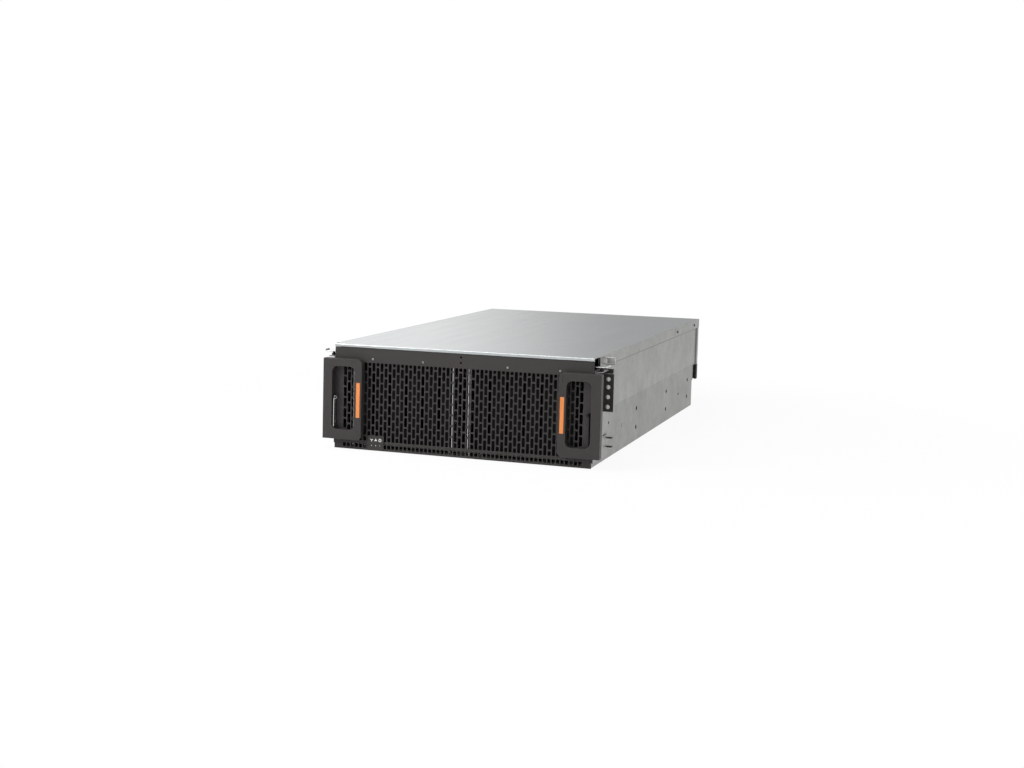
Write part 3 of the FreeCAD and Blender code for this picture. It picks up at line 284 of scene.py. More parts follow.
def copied(node):
    """A CAD node's mesh with its flat faces made whole."""
    form = merged(node)
    bmesh.ops.dissolve_limit(form, angle_limit=math.radians(0.5), verts=form.verts,
                             edges=form.edges)
    return mesh_from(form, node)


def solid_boxes(node):
    """The lowest and highest corner of every separate solid in a CAD node."""
    form = merged(node)
    waiting = set(form.verts)
    boxes = []
    for first in form.verts:
        if first not in waiting:
            continue
        waiting.remove(first)
        members = [first]
        for vertex in members:
            for link in vertex.link_edges:
                other = link.other_vert(vertex)
                if other in waiting:
                    waiting.remove(other)
                    members.append(other)
        boxes.append(tuple(Vector(pick(v.co[i] for v in members) for i in range(3))
                           for pick in (min, max)))
    form.free()
    return boxes


def middles(node):
    """The middle of every separate solid in a CAD node."""
    return [(low + high) / 2 for low, high in solid_boxes(node)]


def dress(node, width, steps=2, finish=None):
    """Replace a CAD node by its own form with rounded edges."""
    return stand_in(f"finished_{node}", soften(copied(node), width, steps), node, finish)


def second_finish(item, finish, test):
    """Give another finish to the faces whose middle and normal pass a test."""
    item.data.materials.append(bpy.data.materials[finish])
    for face in item.data.polygons:
        if test(face.center, face.normal):
            face.material_index = 1


def across(sign, inner, outer, front, rear, bottom, top):
    """Corners of a block that stands from inner to outer on one side of the shelf."""
    near, far = sorted((sign * inner, sign * outer))
    return (near, front, bottom), (far, rear, top)


def block_mesh(name, spans, width, steps=2):
    """Plain blocks with softened edges."""
    form = bmesh.new()
    for low, high in spans:
        add_box(form, low, high)
    return soften(mesh_from(form, name), width, steps)


def blocks(name, spans, width, slot):
    """One fixed piece made of plain blocks."""
    return piece(name, block_mesh(name, spans, width), slot)


# ---- Node trees that make what repeats -------------------------------------------


def new_tree(name, sockets):
    """A geometry tree with named inputs and one geometry output, and the inputs' sockets."""
    tree = bpy.data.node_groups.new(name, "GeometryNodeTree")
    tree.interface.new_socket("Geometry", in_out="OUTPUT", socket_type="NodeSocketGeometry")
    tree.interface.new_socket("Geometry", in_out="INPUT", socket_type="NodeSocketGeometry")
    for label, kind in sockets.items():
        tree.interface.new_socket(label, in_out="INPUT", socket_type=f"NodeSocket{kind}")
    return tree, add(tree, "NodeGroupInput").outputs


def close_tree(tree, shape, finish):
    """End a tree in real geometry that carries its finish."""
    real = add(tree, "RealizeInstances", {"Geometry": shape})
    painted = add(tree, "SetMaterial", {"Geometry": real, "Material": finish})
    add(tree, "NodeGroupOutput", {"Geometry": painted})
    return tree


def pierced_sheet_tree():
    """A flat sheet with an upright slot punched at every point, as tall as the point says.

    Each half of a small round-cornered square moves up or down by the point's stretch.
    """
    tree, given = new_tree("Pierced sheet", {
        "Slot width": "Float", "Corner": "Float", "Sheet width": "Float", "Sheet height": "Float",
        "Sheet centre": "Vector", "Gauge": "Float", "Place": "Vector", "Finish": "Material"})
    square = add(tree, "CurvePrimitiveQuadrilateral",
                 {"Width": given["Slot width"], "Height": given["Slot width"]}, mode="RECTANGLE")
    rounded = add(tree, "FilletCurve",
                  {"Curve": square, "Count": 4, "Radius": given["Corner"]}, mode="POLY")
    height = add(tree, "ShaderNodeSeparateXYZ", {"Vector": add(tree, "InputPosition")})
    end = worked(tree, "SIGN", height.outputs["Y"])
    tagged = add(tree, "StoreNamedAttribute",
                 {"Geometry": rounded, "Name": "end", "Value": end},
                 data_type="FLOAT", domain="POINT")
    scale = add(tree, "InputNamedAttribute", {"Name": "scale"}, data_type="FLOAT")
    slots = add(tree, "InstanceOnPoints",
                {"Points": given["Geometry"], "Instance": tagged, "Scale": scale})
    real = add(tree, "RealizeInstances", {"Geometry": slots})
    which = add(tree, "InputNamedAttribute", {"Name": "end"}, data_type="FLOAT")
    reach = add(tree, "InputNamedAttribute", {"Name": "stretch"}, data_type="FLOAT")
    rise = worked(tree, "MULTIPLY", which, reach)
    drawn = add(tree, "SetPosition",
                {"Geometry": real, "Offset": add(tree, "ShaderNodeCombineXYZ", {"Y": rise})})
    border = add(tree, "CurvePrimitiveQuadrilateral",
                 {"Width": given["Sheet width"], "Height": given["Sheet height"]}, mode="RECTANGLE")
    centred = add(tree, "Transform", {"Geometry": border, "Translation": given["Sheet centre"]})
    outline = add(tree, "JoinGeometry", {"Geometry": [drawn, centred]})
    face = add(tree, "FillCurve", {"Curve": outline}, mode="TRIANGLES")
    thick = add(tree, "ExtrudeMesh",
                {"Mesh": face, "Offset Scale": given["Gauge"], "Individual": False}, mode="FACES")
    back = add(tree, "FlipFaces", {"Mesh": face})
    whole = add(tree, "MergeByDistance",
                {"Geometry": add(tree, "JoinGeometry", {"Geometry": [thick, back]}),
                 "Distance": MM * 0.001})
    stood = add(tree, "Transform",
                {"Geometry": whole, "Rotation": (math.pi / 2, 0, 0), "Translation": given["Place"]})
    return close_tree(tree, stood, given["Finish"])


def repeat_tree():
    """One object repeated at every point, all turned the same way."""
    tree, given = new_tree("Repeat", {"Item": "Object", "Turn": "Vector", "Finish": "Material"})
    item = add(tree, "ObjectInfo", {"Object": given["Item"], "As Instance": True})
    turn = add(tree, "FunctionNodeEulerToRotation", {"Euler": given["Turn"]})
    copies = add(tree, "InstanceOnPoints",
                 {"Points": given["Geometry"], "Instance": item.outputs["Geometry"],
                  "Rotation": turn})
    return close_tree(tree, copies, given["Finish"])


def ring_guard_tree():
    """Concentric wire rings round every point, standing upright across +Y."""
    tree, given = new_tree("Ring guard", {
        "Rings": "Int", "First ring": "Float", "Ring pitch": "Float", "Wire": "Float",
        "Finish": "Material"})
    row = add(tree, "MeshLine", {"Count": given["Rings"], "Offset": (0, 0, 0)})
    order = add(tree, "InputIndex")
    spread = worked(tree, "MULTIPLY_ADD", order, given["Ring pitch"], given["First ring"])
    circle = add(tree, "CurvePrimitiveCircle", {"Resolution": 64, "Radius": 1.0}, mode="RADIUS")
    rings = add(tree, "InstanceOnPoints", {"Points": row, "Instance": circle, "Scale": spread})
    real = add(tree, "RealizeInstances", {"Geometry": rings})
    wire = add(tree, "CurvePrimitiveCircle",
               {"Resolution": 8, "Radius": given["Wire"]}, mode="RADIUS")
    bent = add(tree, "CurveToMesh", {"Curve": real, "Profile Curve": wire})
    stood = add(tree, "Transform", {"Geometry": bent, "Rotation": (math.pi / 2, 0, 0)})
    copies = add(tree, "InstanceOnPoints", {"Points": given["Geometry"], "Instance": stood})
    return close_tree(tree, copies, given["Finish"])


def grown(tree_name, points, finish, attributes=None, **values):
    """The plain mesh a tree makes from a list of points and named inputs."""
    seeds = bpy.data.meshes.new(tree_name)
    seeds.from_pydata(points, [], [])
    for label, numbers in (attributes or {}).items():
        layer = seeds.attributes.new(label, "FLOAT", "POINT")
        layer.data.foreach_set("value", numbers)
    item = loose(tree_name, seeds)
    modifier = item.modifiers.new(tree_name, "NODES")
    modifier.node_group = bpy.data.node_groups[tree_name]
    values["Finish"] = bpy.data.materials[finish]
    for socket in modifier.node_group.interface.items_tree:
        key = socket.name.replace(" ", "_")
        if key in values and socket.in_out == "INPUT":
            modifier[socket.identifier] = values[key]
    return settled(item)


def repeated(mesh, points, finish, turn=(0, 0, 0)):
    """One mesh repeated at every point; the pattern object goes once it has been copied."""
    pattern = loose("Pattern", mesh)
    copies = grown("Repeat", points, finish, Item=pattern, Turn=turn)
    bpy.data.objects.remove(pattern)
    return copies


# ---- Finishes --------------------------------------------------------------------


def place_on(tree, stretch=(1, 1, 1)):
    """Object coordinates, stretched per axis."""
    where = add(tree, "TexCoord")
    return add(tree, "Mapping", {"Vector": where.outputs["Object"], "Scale": stretch})


def patches(tree, size, stretch, detail):
    """Noise between 0 and 1 in patches of a given size, in millimetres, on the object."""
    return add(tree, "TexNoise", {
        "Vector": place_on(tree, stretch), "Scale": 1 / (size * MM), "Detail": detail
    }).outputs["Fac"]


def grain(tree, shader, size, depth, stretch=(1, 1, 1)):
    """A fine relief: size is the grain's width and depth its height, both in millimetres."""
    bump = add(tree, "Bump", {
        "Strength": 1.0, "Distance": depth * MM, "Height": patches(tree, size, stretch, 2.0)})
    tree.links.new(bump.outputs[0], shader.inputs["Normal"])


def cloudy(tree, shader, colour, spread, size, stretch=(1, 1, 1)):
    """Let the colour drift a little lighter and darker over patches of a given size."""
    drift = add(tree, "Mix", {
        "Factor": patches(tree, size, stretch, 3.0), "A": toned(colour, 1 - spread),
        "B": toned(colour, 1 + spread)}, data_type="RGBA")
    tree.links.new(drift.outputs["Result"], shader.inputs["Base Color"])


def uneven(tree, shader, low, high, size, stretch=(1, 1, 1)):
    """Let the gloss change over patches, as handling and rolling leave it."""
    gloss = add(tree, "MapRange", {
        "Value": patches(tree, size, stretch, 4.0), "From Min": 0.3, "From Max": 0.7,
        "To Min": low, "To Max": high})
    tree.links.new(gloss.outputs["Result"], shader.inputs["Roughness"])


def surface(name, colour, metallic, roughness, drift=None, gloss=None, relief=None, **more):
    """A material with its shader, and the drift, uneven gloss and relief that are asked for."""
    tree = emptied(bpy.data.materials.new(name))
    shader = add(tree, "BsdfPrincipled", {
        "Base Color": tuple(colour), "Metallic": metallic, "Roughness": roughness, **more})
    add(tree, "OutputMaterial", {"Surface": shader})
    if drift:
        cloudy(tree, shader, colour, *drift)
    if gloss:
        uneven(tree, shader, *gloss)
    if relief:
        grain(tree, shader, *relief)
    return tree, shader


def galvanised(name, share):
    """Galvanised steel: grey zinc with faint spangles a few millimetres across."""
    colour = toned(colours().side, share)
    tree, shader = surface(name, colour, 0.75, 0.44, gloss=(0.40, 0.50, 30), relief=(1.5, 0.008))
    cells = add(tree, "TexVoronoi", {"Vector": place_on(tree), "Scale": 1 / (7 * MM)})
    tone = add(tree, "SeparateColor", {"Color": cells.outputs["Color"]})
    mixed = add(tree, "Mix", {
        "Factor": tone.outputs["Red"], "A": toned(colour, 0.95), "B": toned(colour, 1.05)},
        data_type="RGBA")
    tree.links.new(mixed.outputs["Result"], shader.inputs["Base Color"])


def solder_mask():
    """Green solder mask over copper tracks: dark, glossy, with a fine raised grid."""
    colour = linear("#0f4a2c")
    tree, shader = surface("Green solder mask", colour, 0.0, 0.3, relief=(1.2, 0.01),
                           **{"Coat Weight": 0.4})
    tracks = add(tree, "TexBrick", {
        "Vector": place_on(tree), "Scale": 1 / (12 * MM), "Color1": colour,
        "Color2": linear("#125535"), "Mortar": linear("#2a7a4c"), "Mortar Size": 0.03})
    tree.links.new(tracks.outputs["Color"], shader.inputs["Base Color"])


def make_finishes():
    """Every finish of the shelf; each comment says what the finish gives the eye."""
    # Powder coat: a fine satin orange peel that breaks up each highlight. The peel is
    # about 0.4 mm across; it is drawn at 1.1 mm so that it shows.
    surface("Powder-coated steel", colours().coat, 0.0, 0.45, drift=(0.07, 50),
            relief=(1.1, 0.05), **{"Specular IOR Level": 0.3})
    # Lid sheet: rolled along its length, pale and half glossy.
    surface("Passivated zinc-coated sheet", colours().lid, 0.9, 0.2,
            drift=(0.02, 120, (1, 0.3, 1)), gloss=(0.18, 0.23, 20, (1, 0.08, 1)),
            relief=(0.9, 0.006, (1, 0.04, 1)))
    # The tub's upper panel, and a darker copy of it: painted shade on the lower sheet, which gets
    # less light. The header screws take the darker copy too.
    galvanised("Galvanised steel", 1.0)
    galvanised("Darker galvanised steel", 0.88)
    # Zinc on pressed brackets: bluish white and clean.
    surface("Bright zinc plate", linear("#c6c8c6"), 0.95, 0.3, drift=(0.05, 12),
            gloss=(0.25, 0.36, 8), relief=(0.8, 0.006))
    # Module sheet: nickel with a light brushed grain along X.
    surface("Brushed nickel-plated sheet", linear("#aeb0af"), 0.9, 0.36, drift=(0.04, 20),
            gloss=(0.3, 0.42, 4, (0.06, 1, 1)), relief=(0.6, 0.01, (0.03, 1, 1)))
    # Touch strip: even orange with a fine eggshell texture.
    surface("Orange moulded ABS", colours().touch, 0.0, 0.46, drift=(0.04, 10), relief=(0.7, 0.02))
    # Nylon: near black, with the faint flow texture of the mould.
    surface("Black glass-filled nylon", linear("#1d1d1f"), 0.0, 0.5, drift=(0.15, 15),
            relief=(0.9, 0.03))
    # Screw steel: small, bright and slightly worn where a driver bites.
    surface("Bright plated steel", linear("#cfcfcc"), 1.0, 0.24, drift=(0.08, 3),
            gloss=(0.18, 0.34, 2))
    # Pins and springs: oily black metal.
    surface("Black oxide steel", linear("#2a2a2b"), 0.7, 0.38, gloss=(0.3, 0.46, 4),
            relief=(0.5, 0.01))
    # Drive casting: dull charcoal with a slightly pitted skin. The black coat is the casting's own,
    # and its darkness is pushed further as painted shade for the dark bay behind the slots.
    surface("Dark cast aluminium with painted shade", linear("#121213"), 0.0, 0.75, drift=(0.08, 20),
            relief=(0.8, 0.03), **{"Specular IOR Level": 0.2})
    # Painted shade: a matt near black for the shade on the sheets inside the bay and in the holes
    # of the side nuts.
    surface("Painted shade black", linear("#101010"), 0.0, 0.8, drift=(0.1, 30),
            relief=(0.8, 0.02), **{"Specular IOR Level": 0.15})
    solder_mask()
    # Lamp lens: frosted acrylic, unlit.
    surface("Frosted acrylic lens", linear("#d8d8d2"), 0.0, 0.3, relief=(0.4, 0.01),
            **{"Transmission Weight": 0.3, "IOR": 1.49})
    # Print on the indicator panel: even white ink.
    surface("White screen-print ink", linear("#e4e4e2"), 0.0, 0.5, drift=(0.04, 2))


FINISH_OF_SLOT = {
    "black_paint": "Powder-coated steel",
    "cover_steel": "Passivated zinc-coated sheet",
    "side_steel": "Galvanised steel",
    "zinc_plate": "Bright zinc plate",
    "module_steel": "Brushed nickel-plated sheet",
    "orange_plastic": "Orange moulded ABS",
    "black_plastic": "Black glass-filled nylon",
    "bright_steel": "Bright plated steel",
    "black_steel": "Black oxide steel",
    "drive_aluminium": "Dark cast aluminium with painted shade",
    "board_green": "Green solder mask",
    "lamp_white": "Frosted acrylic lens",
}


# ---- Values a user would change --------------------------------------------------


def length_value(name, description, default):
    return bpy.props.FloatProperty(name=name, description=description, default=default,
                                   min=0.0, unit="LENGTH", subtype="DISTANCE", precision=5)


def colour_value(name, description, code):
    return bpy.props.FloatVectorProperty(name=name, description=description, default=linear(code),
                                         size=4, min=0.0, max=1.0, subtype="COLOR")


class ShelfSizes(bpy.types.PropertyGroup):
    """Sizes of the finish that the frame doesn't give."""

    slot_pitch: length_value("Slot pitch", "Distance between columns of slots", 7.2 * MM)
    slot_rise: length_value("Slot rise", "Distance between the webs of one column", 17.64 * MM)
    slot_width: length_value("Slot width", "Width of a slot in the front sheet", 5.2 * MM)
    slot_web: length_value("Slot web", "Metal left between two slots of a column", 2.4 * MM)
    slot_corner: length_value("Slot corner", "Radius of a slot's corners", 1.7 * MM)
    slot_reach: bpy.props.IntProperty(name="Slot columns each side", default=28, min=1,
                                      description="Columns left or right of centre")
    field_low: length_value("Field low", "Height of the slotted field's lower edge", 15.5 * MM)
    field_high: length_value("Field high", "Height of the slotted field's upper edge", 145.7 * MM)
    top_web: length_value("Top web", "Height of the highest web of the even columns", 138.9 * MM)
    vent_low: length_value("Vent low", "Lower edge of the short vent slots", 3.4 * MM)
    vent_high: length_value("Vent high", "Upper edge of the short vent slots", 11.2 * MM)
    sheet_edge: length_value("Sheet edge", "Round on the edges of folded sheet", 0.3 * MM)
    handle_edge: length_value("Handle edge", "Round on the edges of the handles", 1.4 * MM)
    glyph: length_value("Pictogram", "Half height of a printed pictogram", 2.8 * MM)
    guard_wire: length_value("Guard wire", "Radius of the fan guard's wire", 0.9 * MM)


class ShelfColours(bpy.types.PropertyGroup):
    """Main colours of the shelf."""

    coat: colour_value("Powder coat", "Black of the front, handles and flanges", "#3a3736")
    lid: colour_value("Lid", "Pale grey of the covers", "#bcc0c1")
    side: colour_value("Sides", "Grey of the galvanised tub", "#a3a3a0")
    touch: colour_value("Touch strips", "Orange of the handle strips", "#ec8d49")


# ---- Operators, one for each piece or group --------------------------------------


class Step:
    """What every operator shares: it builds its pieces and reports success."""

    def execute(self, context):
        self.build()
        return {"FINISHED"}


class SHELF_OT_finishes(Step, bpy.types.Operator):
    """Make every finish and node tree, and paint the plain CAD nodes"""

    bl_idname = "shelf.finishes"
    bl_label = "Finishes"

    def build(self):
        make_finishes()
        for make in (pierced_sheet_tree, repeat_tree, ring_guard_tree):
            make()
        for node, slot in NODE_SLOTS.items():
            for place in frame["nodes"][node].material_slots:
                place.material = bpy.data.materials[FINISH_OF_SLOT[slot]]


def slot_spans(column):
    """Open stretches of one column of the slotted field, between its webs."""
    half_web = sizes().slot_web / 2
    web = sizes().top_web - (column % 2) * sizes().slot_rise / 2
    top = sizes().field_high
    spans = []
    while web - half_web > sizes().field_low + half_web:
        spans.append((web + half_web, top))
        top = web - half_web
        web -= sizes().slot_rise
    return spans + [(sizes().field_low, top)]


def slot_seed(place, low, high):
    """A point for one slot and how far its ends move from a square's."""
    return (place, (low + high) / 2, 0), (high - low - sizes().slot_width) / 2


def pierced(node, seeds, scales):
    """A punched sheet that fills a CAD node's front sheet."""
    low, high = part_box(node)
    centre = (low + high) / 2
    mesh = grown(
        "Pierced sheet", [seed[0] for seed in seeds], FINISH_OF_SLOT["black_paint"],
        {"stretch": [seed[1] for seed in seeds], "scale": scales},
        Slot_width=sizes().slot_width, Corner=sizes().slot_corner, Sheet_width=high.x - low.x,
        Sheet_height=high.z - low.z, Sheet_centre=(centre.x, centre.z, 0), Gauge=SHEET_GAUGE,
        Place=(0, low.y + SHEET_GAUGE, 0))
    return soften(mesh, 0.22 * MM, 1, 50)


class SHELF_OT_front_sheet(Step, bpy.types.Operator):
    """Punch the slotted front sheet, its lower vent and the rail behind the vent"""

    bl_idname = "shelf.front_sheet"
    bl_label = "Front sheet"

    def build(self):
        given = sizes()
        columns = range(-given.slot_reach, given.slot_reach + 1)
        seeds = [slot_seed(column * given.slot_pitch, low, high)
                 for column in columns for low, high in slot_spans(column)]
        scales = [1.0] * len(seeds) + [HEADER_HOLE_SCALE] * len(HEADER_HOLES)
        seeds += [((0, height, 0), 0) for height in HEADER_HOLES]
        stand_in("slotted_front", pierced("front_grille", seeds, scales), "front_grille")
        vents = [slot_seed(column * given.slot_pitch, given.vent_low, given.vent_high)
                 for column in columns]
        stand_in("lower_vent_sheet", pierced("lower_vent", vents, [1.0] * len(vents)), "lower_vent")
        low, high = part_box("lower_vent")
        half = given.slot_reach * given.slot_pitch + given.slot_width / 2 + 2.5 * MM
        foot = (-half, low.y + SHEET_GAUGE, 1.5 * MM), (half, high.y, 3 * MM)
        lip = (-half, low.y + 1.7 * MM, 9.4 * MM), (half, low.y + 4 * MM, 10.8 * MM)
        blocks("vent_rail", [foot, lip], 0.2 * MM, "black_paint")


def screw_mesh(radius):
    """A pan-head screw with a six-lobe recess; its head rises along +Z from the origin."""
    rise, steps = 1.3 * MM, 24
    form = bmesh.new()
    rings = []
    # Each ring's share of the radius and of the rise, and whether it follows the lobes.
    for share, height, lobed in ((1.0, 0.0, False), (1.0, 0.45, False), (0.86, 0.85, False),
                                 (0.68, 1.0, False), (0.5, 1.0, True), (0.46, 0.35, True)):
        ring = []
        for i, (x, y) in enumerate(unit_circle(steps)):
            lobe = 1.3 * (0.62 + 0.16 * math.cos(6 * 2 * math.pi * i / steps)) if lobed else 1
            reach = radius * share * lobe
            ring.append(form.verts.new((reach * x, reach * y, rise * height)))
        rings.append(ring)
    for lower, upper in zip(rings, rings[1:]):
        bridge(form, lower, upper)
    form.faces.new(rings[-1])
    form.faces.new(rings[0][::-1])
    return shaded(mesh_from(form, "Pan head"))


class SHELF_OT_screws(Step, bpy.types.Operator):
    """Set the pan-head screws of the header, the covers and the ear brackets"""

    bl_idname = "shelf.screws"
    bl_label = "Screws"

    def build(self):
        front = edge_of("front_grille", 0, "y")
        dull, black = "Darker galvanised steel", FINISH_OF_SLOT["black_steel"]
        header = [(place.x, front, place.z) for place in middles("grille_screws")]
        heads = repeated(screw_mesh(1.9 * MM), header, dull, (math.pi / 2, 0, 0))
        stand_in("header_screws", heads, "grille_screws", dull)
        seats = {"cover_screws": edge_of("rear_cover", 1, "x"),
                 "ear_screws": edge_of("chassis_tub", 1, "x") + SHEET_GAUGE}
        for node, seat in seats.items():
            for side, sign in SIGNS.items():
                points = [(sign * seat, place.y, place.z) for place in middles(node)
                          if sign * place.x > 0]
                heads = repeated(screw_mesh(2.7 * MM), points, black, (0, sign * math.pi / 2, 0))
                stand_in(f"{side}_{node}", heads, node, slot="black_steel")


def insert_mesh(radius):
    """A blind nut set in a wall: a low collar round a dark bore, rising along +Z."""
    form = bmesh.new()
    profile = [(0, -1.2 * MM), (radius * 0.5, -1.2 * MM), (radius * 0.5, 0.1 * MM),
               (radius * 0.6, 0.25 * MM), (radius * 0.94, 0.25 * MM), (radius, 0.05 * MM),
               (radius, -0.2 * MM)]
    add_turned(form, profile, 24, (0, 0, 0))
    return shaded(mesh_from(form, "Insert"))


class SHELF_OT_shell(Step, bpy.types.Operator):
    """Round the edges of the tub and the two covers, and set the painted shadow under the seams and
    the nuts of the sides
    """

    bl_idname = "shelf.shell"
    bl_label = "Tub and covers"

    def build(self):
        edge = sizes().sheet_edge
        wall, rear = edge_of("chassis_tub", 1, "x"), edge_of("chassis_tub", 1, "y")
        seam = edge_of("front_cover", 0, "z")
        # The faces set in from the outer wall, the lower sheet among them, take the darker copy:
        # painted shade.
        second_finish(dress("chassis_tub", edge), "Darker galvanised steel",
                      lambda middle, normal: abs(middle.x) < wall - 0.4 * MM)
        # The covers' flanks, picked by facing sideways, take the tub's galvanised finish, darker
        # than the lid: painted shade on the one sheet of each cover.
        for node in ("front_cover", "rear_cover"):
            second_finish(dress(node, edge), "Galvanised steel",
                          lambda middle, normal: abs(normal.x) > 0.5)
        # The black strip under each seam stands for the shadow of the covers' overhanging flank:
        # painted shadow.
        # Inner and outer face, front, rear, bottom and top of each; then its edge and slot.
        shadow_strip = (wall - 0.2 * MM, wall + 1.1 * MM, SHADOW_STRIP_FRONT, rear,
                  seam - 1.5 * MM, seam - 0.1 * MM)
        corner = (wall - 2 * MM, wall + 2.5 * MM, rear + 0.2 * MM, rear + 13 * MM,
                  BUMPER_HIGH + 0.2 * MM, seam - 0.3 * MM)
        bumper = (wall - 2 * MM, wall + 2.9 * MM, rear + 0.2 * MM, rear + 13.2 * MM,
                  BUMPER_LOW, BUMPER_HIGH)
        rows = (("seam_gasket", shadow_strip, 0.1 * MM, "black_plastic"),
                ("rear_corner", corner, 0.3 * MM, "side_steel"),
                ("corner_bumper", bumper, 0.5 * MM, "black_plastic"))
        for side, sign in SIGNS.items():
            for label, span, round_off, slot in rows:
                blocks(f"{side}_{label}", [across(sign, *span)], round_off, slot)
            self.nuts(side, sign, wall - 0.8 * MM)

    def nuts(self, side, sign, seat):
        """The rail and lock nuts of one side wall."""
        # The nuts take painted shade black: near black for the shade in their holes.
        shade_black = "Painted shade black"
        for label, places, radius in (("rail", RAIL_NUTS, 3.8 * MM), ("lock", LOCK_NUTS, 2.3 * MM)):
            points = [(sign * seat, along * MM, up * MM) for along, up in places]
            nuts = repeated(insert_mesh(radius), points, shade_black, (0, sign * math.pi / 2, 0))
            piece(f"{side}_{label}_nuts", nuts, "black_steel", finish=shade_black)


def pin_box(sign, bottom):
    """Corners of one side's fixed pin between a height and the top of the handles."""
    for low, high in solid_boxes("hinge_pins"):
        if sign * (low.x + high.x) > 0 and bottom < low.z < high.z < edge_of("left_handle", 1, "z"):
            return low, high


def add_tube(form, start, bore, rim, length, steps=28):
    """A short tube along +Y from its start's centre."""
    rings = [[form.verts.new((start[0] + radius * x, start[1] + depth, start[2] + radius * z))
              for x, z in unit_circle(steps)]
             for radius, depth in ((rim, 0), (rim, length), (bore, length), (bore, 0))]
    for ring, after in zip(rings, rings[1:] + rings[:1]):
        bridge(form, ring, after)
    bmesh.ops.recalc_face_normals(form, faces=form.faces)


class SHELF_OT_handles(Step, bpy.types.Operator):
    """Finish the handles, their touch strips and the release triggers"""

    bl_idname = "shelf.handles"
    bl_label = "Handles"

    def build(self):
        for side, sign in SIGNS.items():
            dress(f"{side}_handle", sizes().handle_edge, 3)
            dress(f"{side}_touch_strip", 0.5 * MM, 3)
            self.trigger(f"{side}_release_trigger", sign)

    def trigger(self, node, sign):
        """A wire-thin lever: a small eye on the pin and a blade that hangs beside the grip."""
        low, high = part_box(node)
        outer = high.x if sign > 0 else low.x
        pin_low, pin_high = pin_box(sign, low.z)
        eye, pin = (pin_low + pin_high) / 2, (pin_high.z - pin_low.z) / 2
        bore, rim = pin + 0.2 * MM, pin + 1.1 * MM
        neck, middle = eye.z - rim + 0.9 * MM, outer - sign * 0.9 * MM
        form = bmesh.new()
        add_tube(form, (eye.x, low.y, eye.z), bore, rim, high.y - low.y)
        add_box(form, (min(eye.x, middle), low.y, neck - 1.1 * MM),
                (max(eye.x, middle), high.y, neck))
        add_box(form, (middle - 0.7 * MM, low.y, low.z), (middle + 0.7 * MM, high.y, neck))
        # One and the same lever: the left takes bright plated steel as a painted reflection, the
        # right black oxide as painted shade.
        finish = "Bright plated steel" if sign < 0 else "Black oxide steel"
        stand_in(f"slim_{node}", soften(mesh_from(form, node), 0.25 * MM), node, finish)


class SHELF_OT_ears(Step, bpy.types.Operator):
    """Finish the rack flanges, ear brackets, cover latches and their pins"""

    bl_idname = "shelf.ears"
    bl_label = "Rack ears and latches"

    def build(self):
        wall = edge_of("chassis_tub", 1, "x")
        for side, sign in SIGNS.items():
            self.bracket(f"{side}_ear_bracket", wall)
            dress(f"{side}_rack_flange", 0.5 * MM)
            self.latch(f"{side}_cover_latch", sign)
            self.keeper(side, sign, wall)

    def bracket(self, node, wall):
        """The bracket with its ledge trimmed to the pin, and its folded tabs in black: painted
        shade on the bracket's one plated sheet.
        """
        ledge, reach = edge_of(node, 1, "z") - 2 * MM, wall + 12 * MM
        mesh = copied(node)
        for vertex in mesh.vertices:
            if vertex.co.z > ledge and abs(vertex.co.x) > reach:
                vertex.co.x = math.copysign(reach, vertex.co.x)
        item = stand_in(f"finished_{node}", soften(mesh, sizes().sheet_edge), node,
                        "Galvanised steel")
        # The folded tabs take black oxide: painted shade.
        second_finish(item, "Black oxide steel",
                      lambda middle, normal: abs(middle.x) > wall + 1.8 * MM and middle.z < ledge)

    def latch(self, node, sign):
        """A flat lever on its pin with a short finger lip."""
        low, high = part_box(node)
        inner, outer = sorted((abs(low.x), abs(high.x)))
        leaf, bottom = outer - 6 * MM, low.z + 2.6 * MM
        spans = [across(sign, inner, leaf, low.y, high.y, bottom, bottom + 1.5 * MM),
                 across(sign, leaf - 1.2 * MM, leaf, low.y, high.y, bottom, bottom + 4 * MM)]
        stand_in(f"flat_{node}", block_mesh(node, spans, 0.4 * MM), node)

    def keeper(self, side, sign, wall):
        """The fixed plate behind a latch, a frame round a thinner pane, and the block under it."""
        base = edge_of("front_cover", 0, "z") + 5 * MM
        top = edge_of("front_cover", 1, "z") - 2.4 * MM
        root, near, far = wall - 0.3 * MM, wall + 3.3 * MM, wall + 20.5 * MM
        front, rear, rim = 5 * MM, 7 * MM, 2 * MM
        plate = [across(sign, near, far, front, rear, top - rim, top),
                 across(sign, far - rim, far, front, rear, base, top - rim),
                 across(sign, near + 4 * MM, far - rim, front + 0.4 * MM, rear - 0.4 * MM,
                        base, top - rim),
                 across(sign, root, far, front, rear, base - rim, base)]
        blocks(f"{side}_latch_keeper", plate, 0.3 * MM, "zinc_plate")
        flange = edge_of(f"{side}_rack_flange", 1, "z")
        block = across(sign, root, wall + 19 * MM, -2 * MM, 5.5 * MM,
                       flange + 0.5 * MM, flange + 8 * MM)
        blocks(f"{side}_latch_block", [block], 0.5 * MM, "black_plastic")


def glyph_outlines():
    """Three plain pictograms as (outer, inner) outlines: a mast, a triangle and a hexagon."""
    stroke = 0.4
    mast = []
    for arm in range(3):
        lean = math.radians(270 + 120 * arm)
        along = Vector((math.cos(lean), math.sin(lean)))
        aside = Vector((-along.y, along.x)) * stroke / 2
        notch = lean + math.pi / 3
        mast += [along - aside, along + aside,
                 Vector((math.cos(notch), math.sin(notch))) * stroke / math.sqrt(3)]
    outlines = [(mast, None)]
    for corners, start, band in ((3, 90, 2), (6, 30, 1.15)):
        turns = [math.radians(start + 360 * i / corners) for i in range(corners)]
        ring = [Vector((math.cos(turn), math.sin(turn))) for turn in turns]
        outlines.append((ring, [point * (1 - stroke * band) for point in ring]))
    return outlines


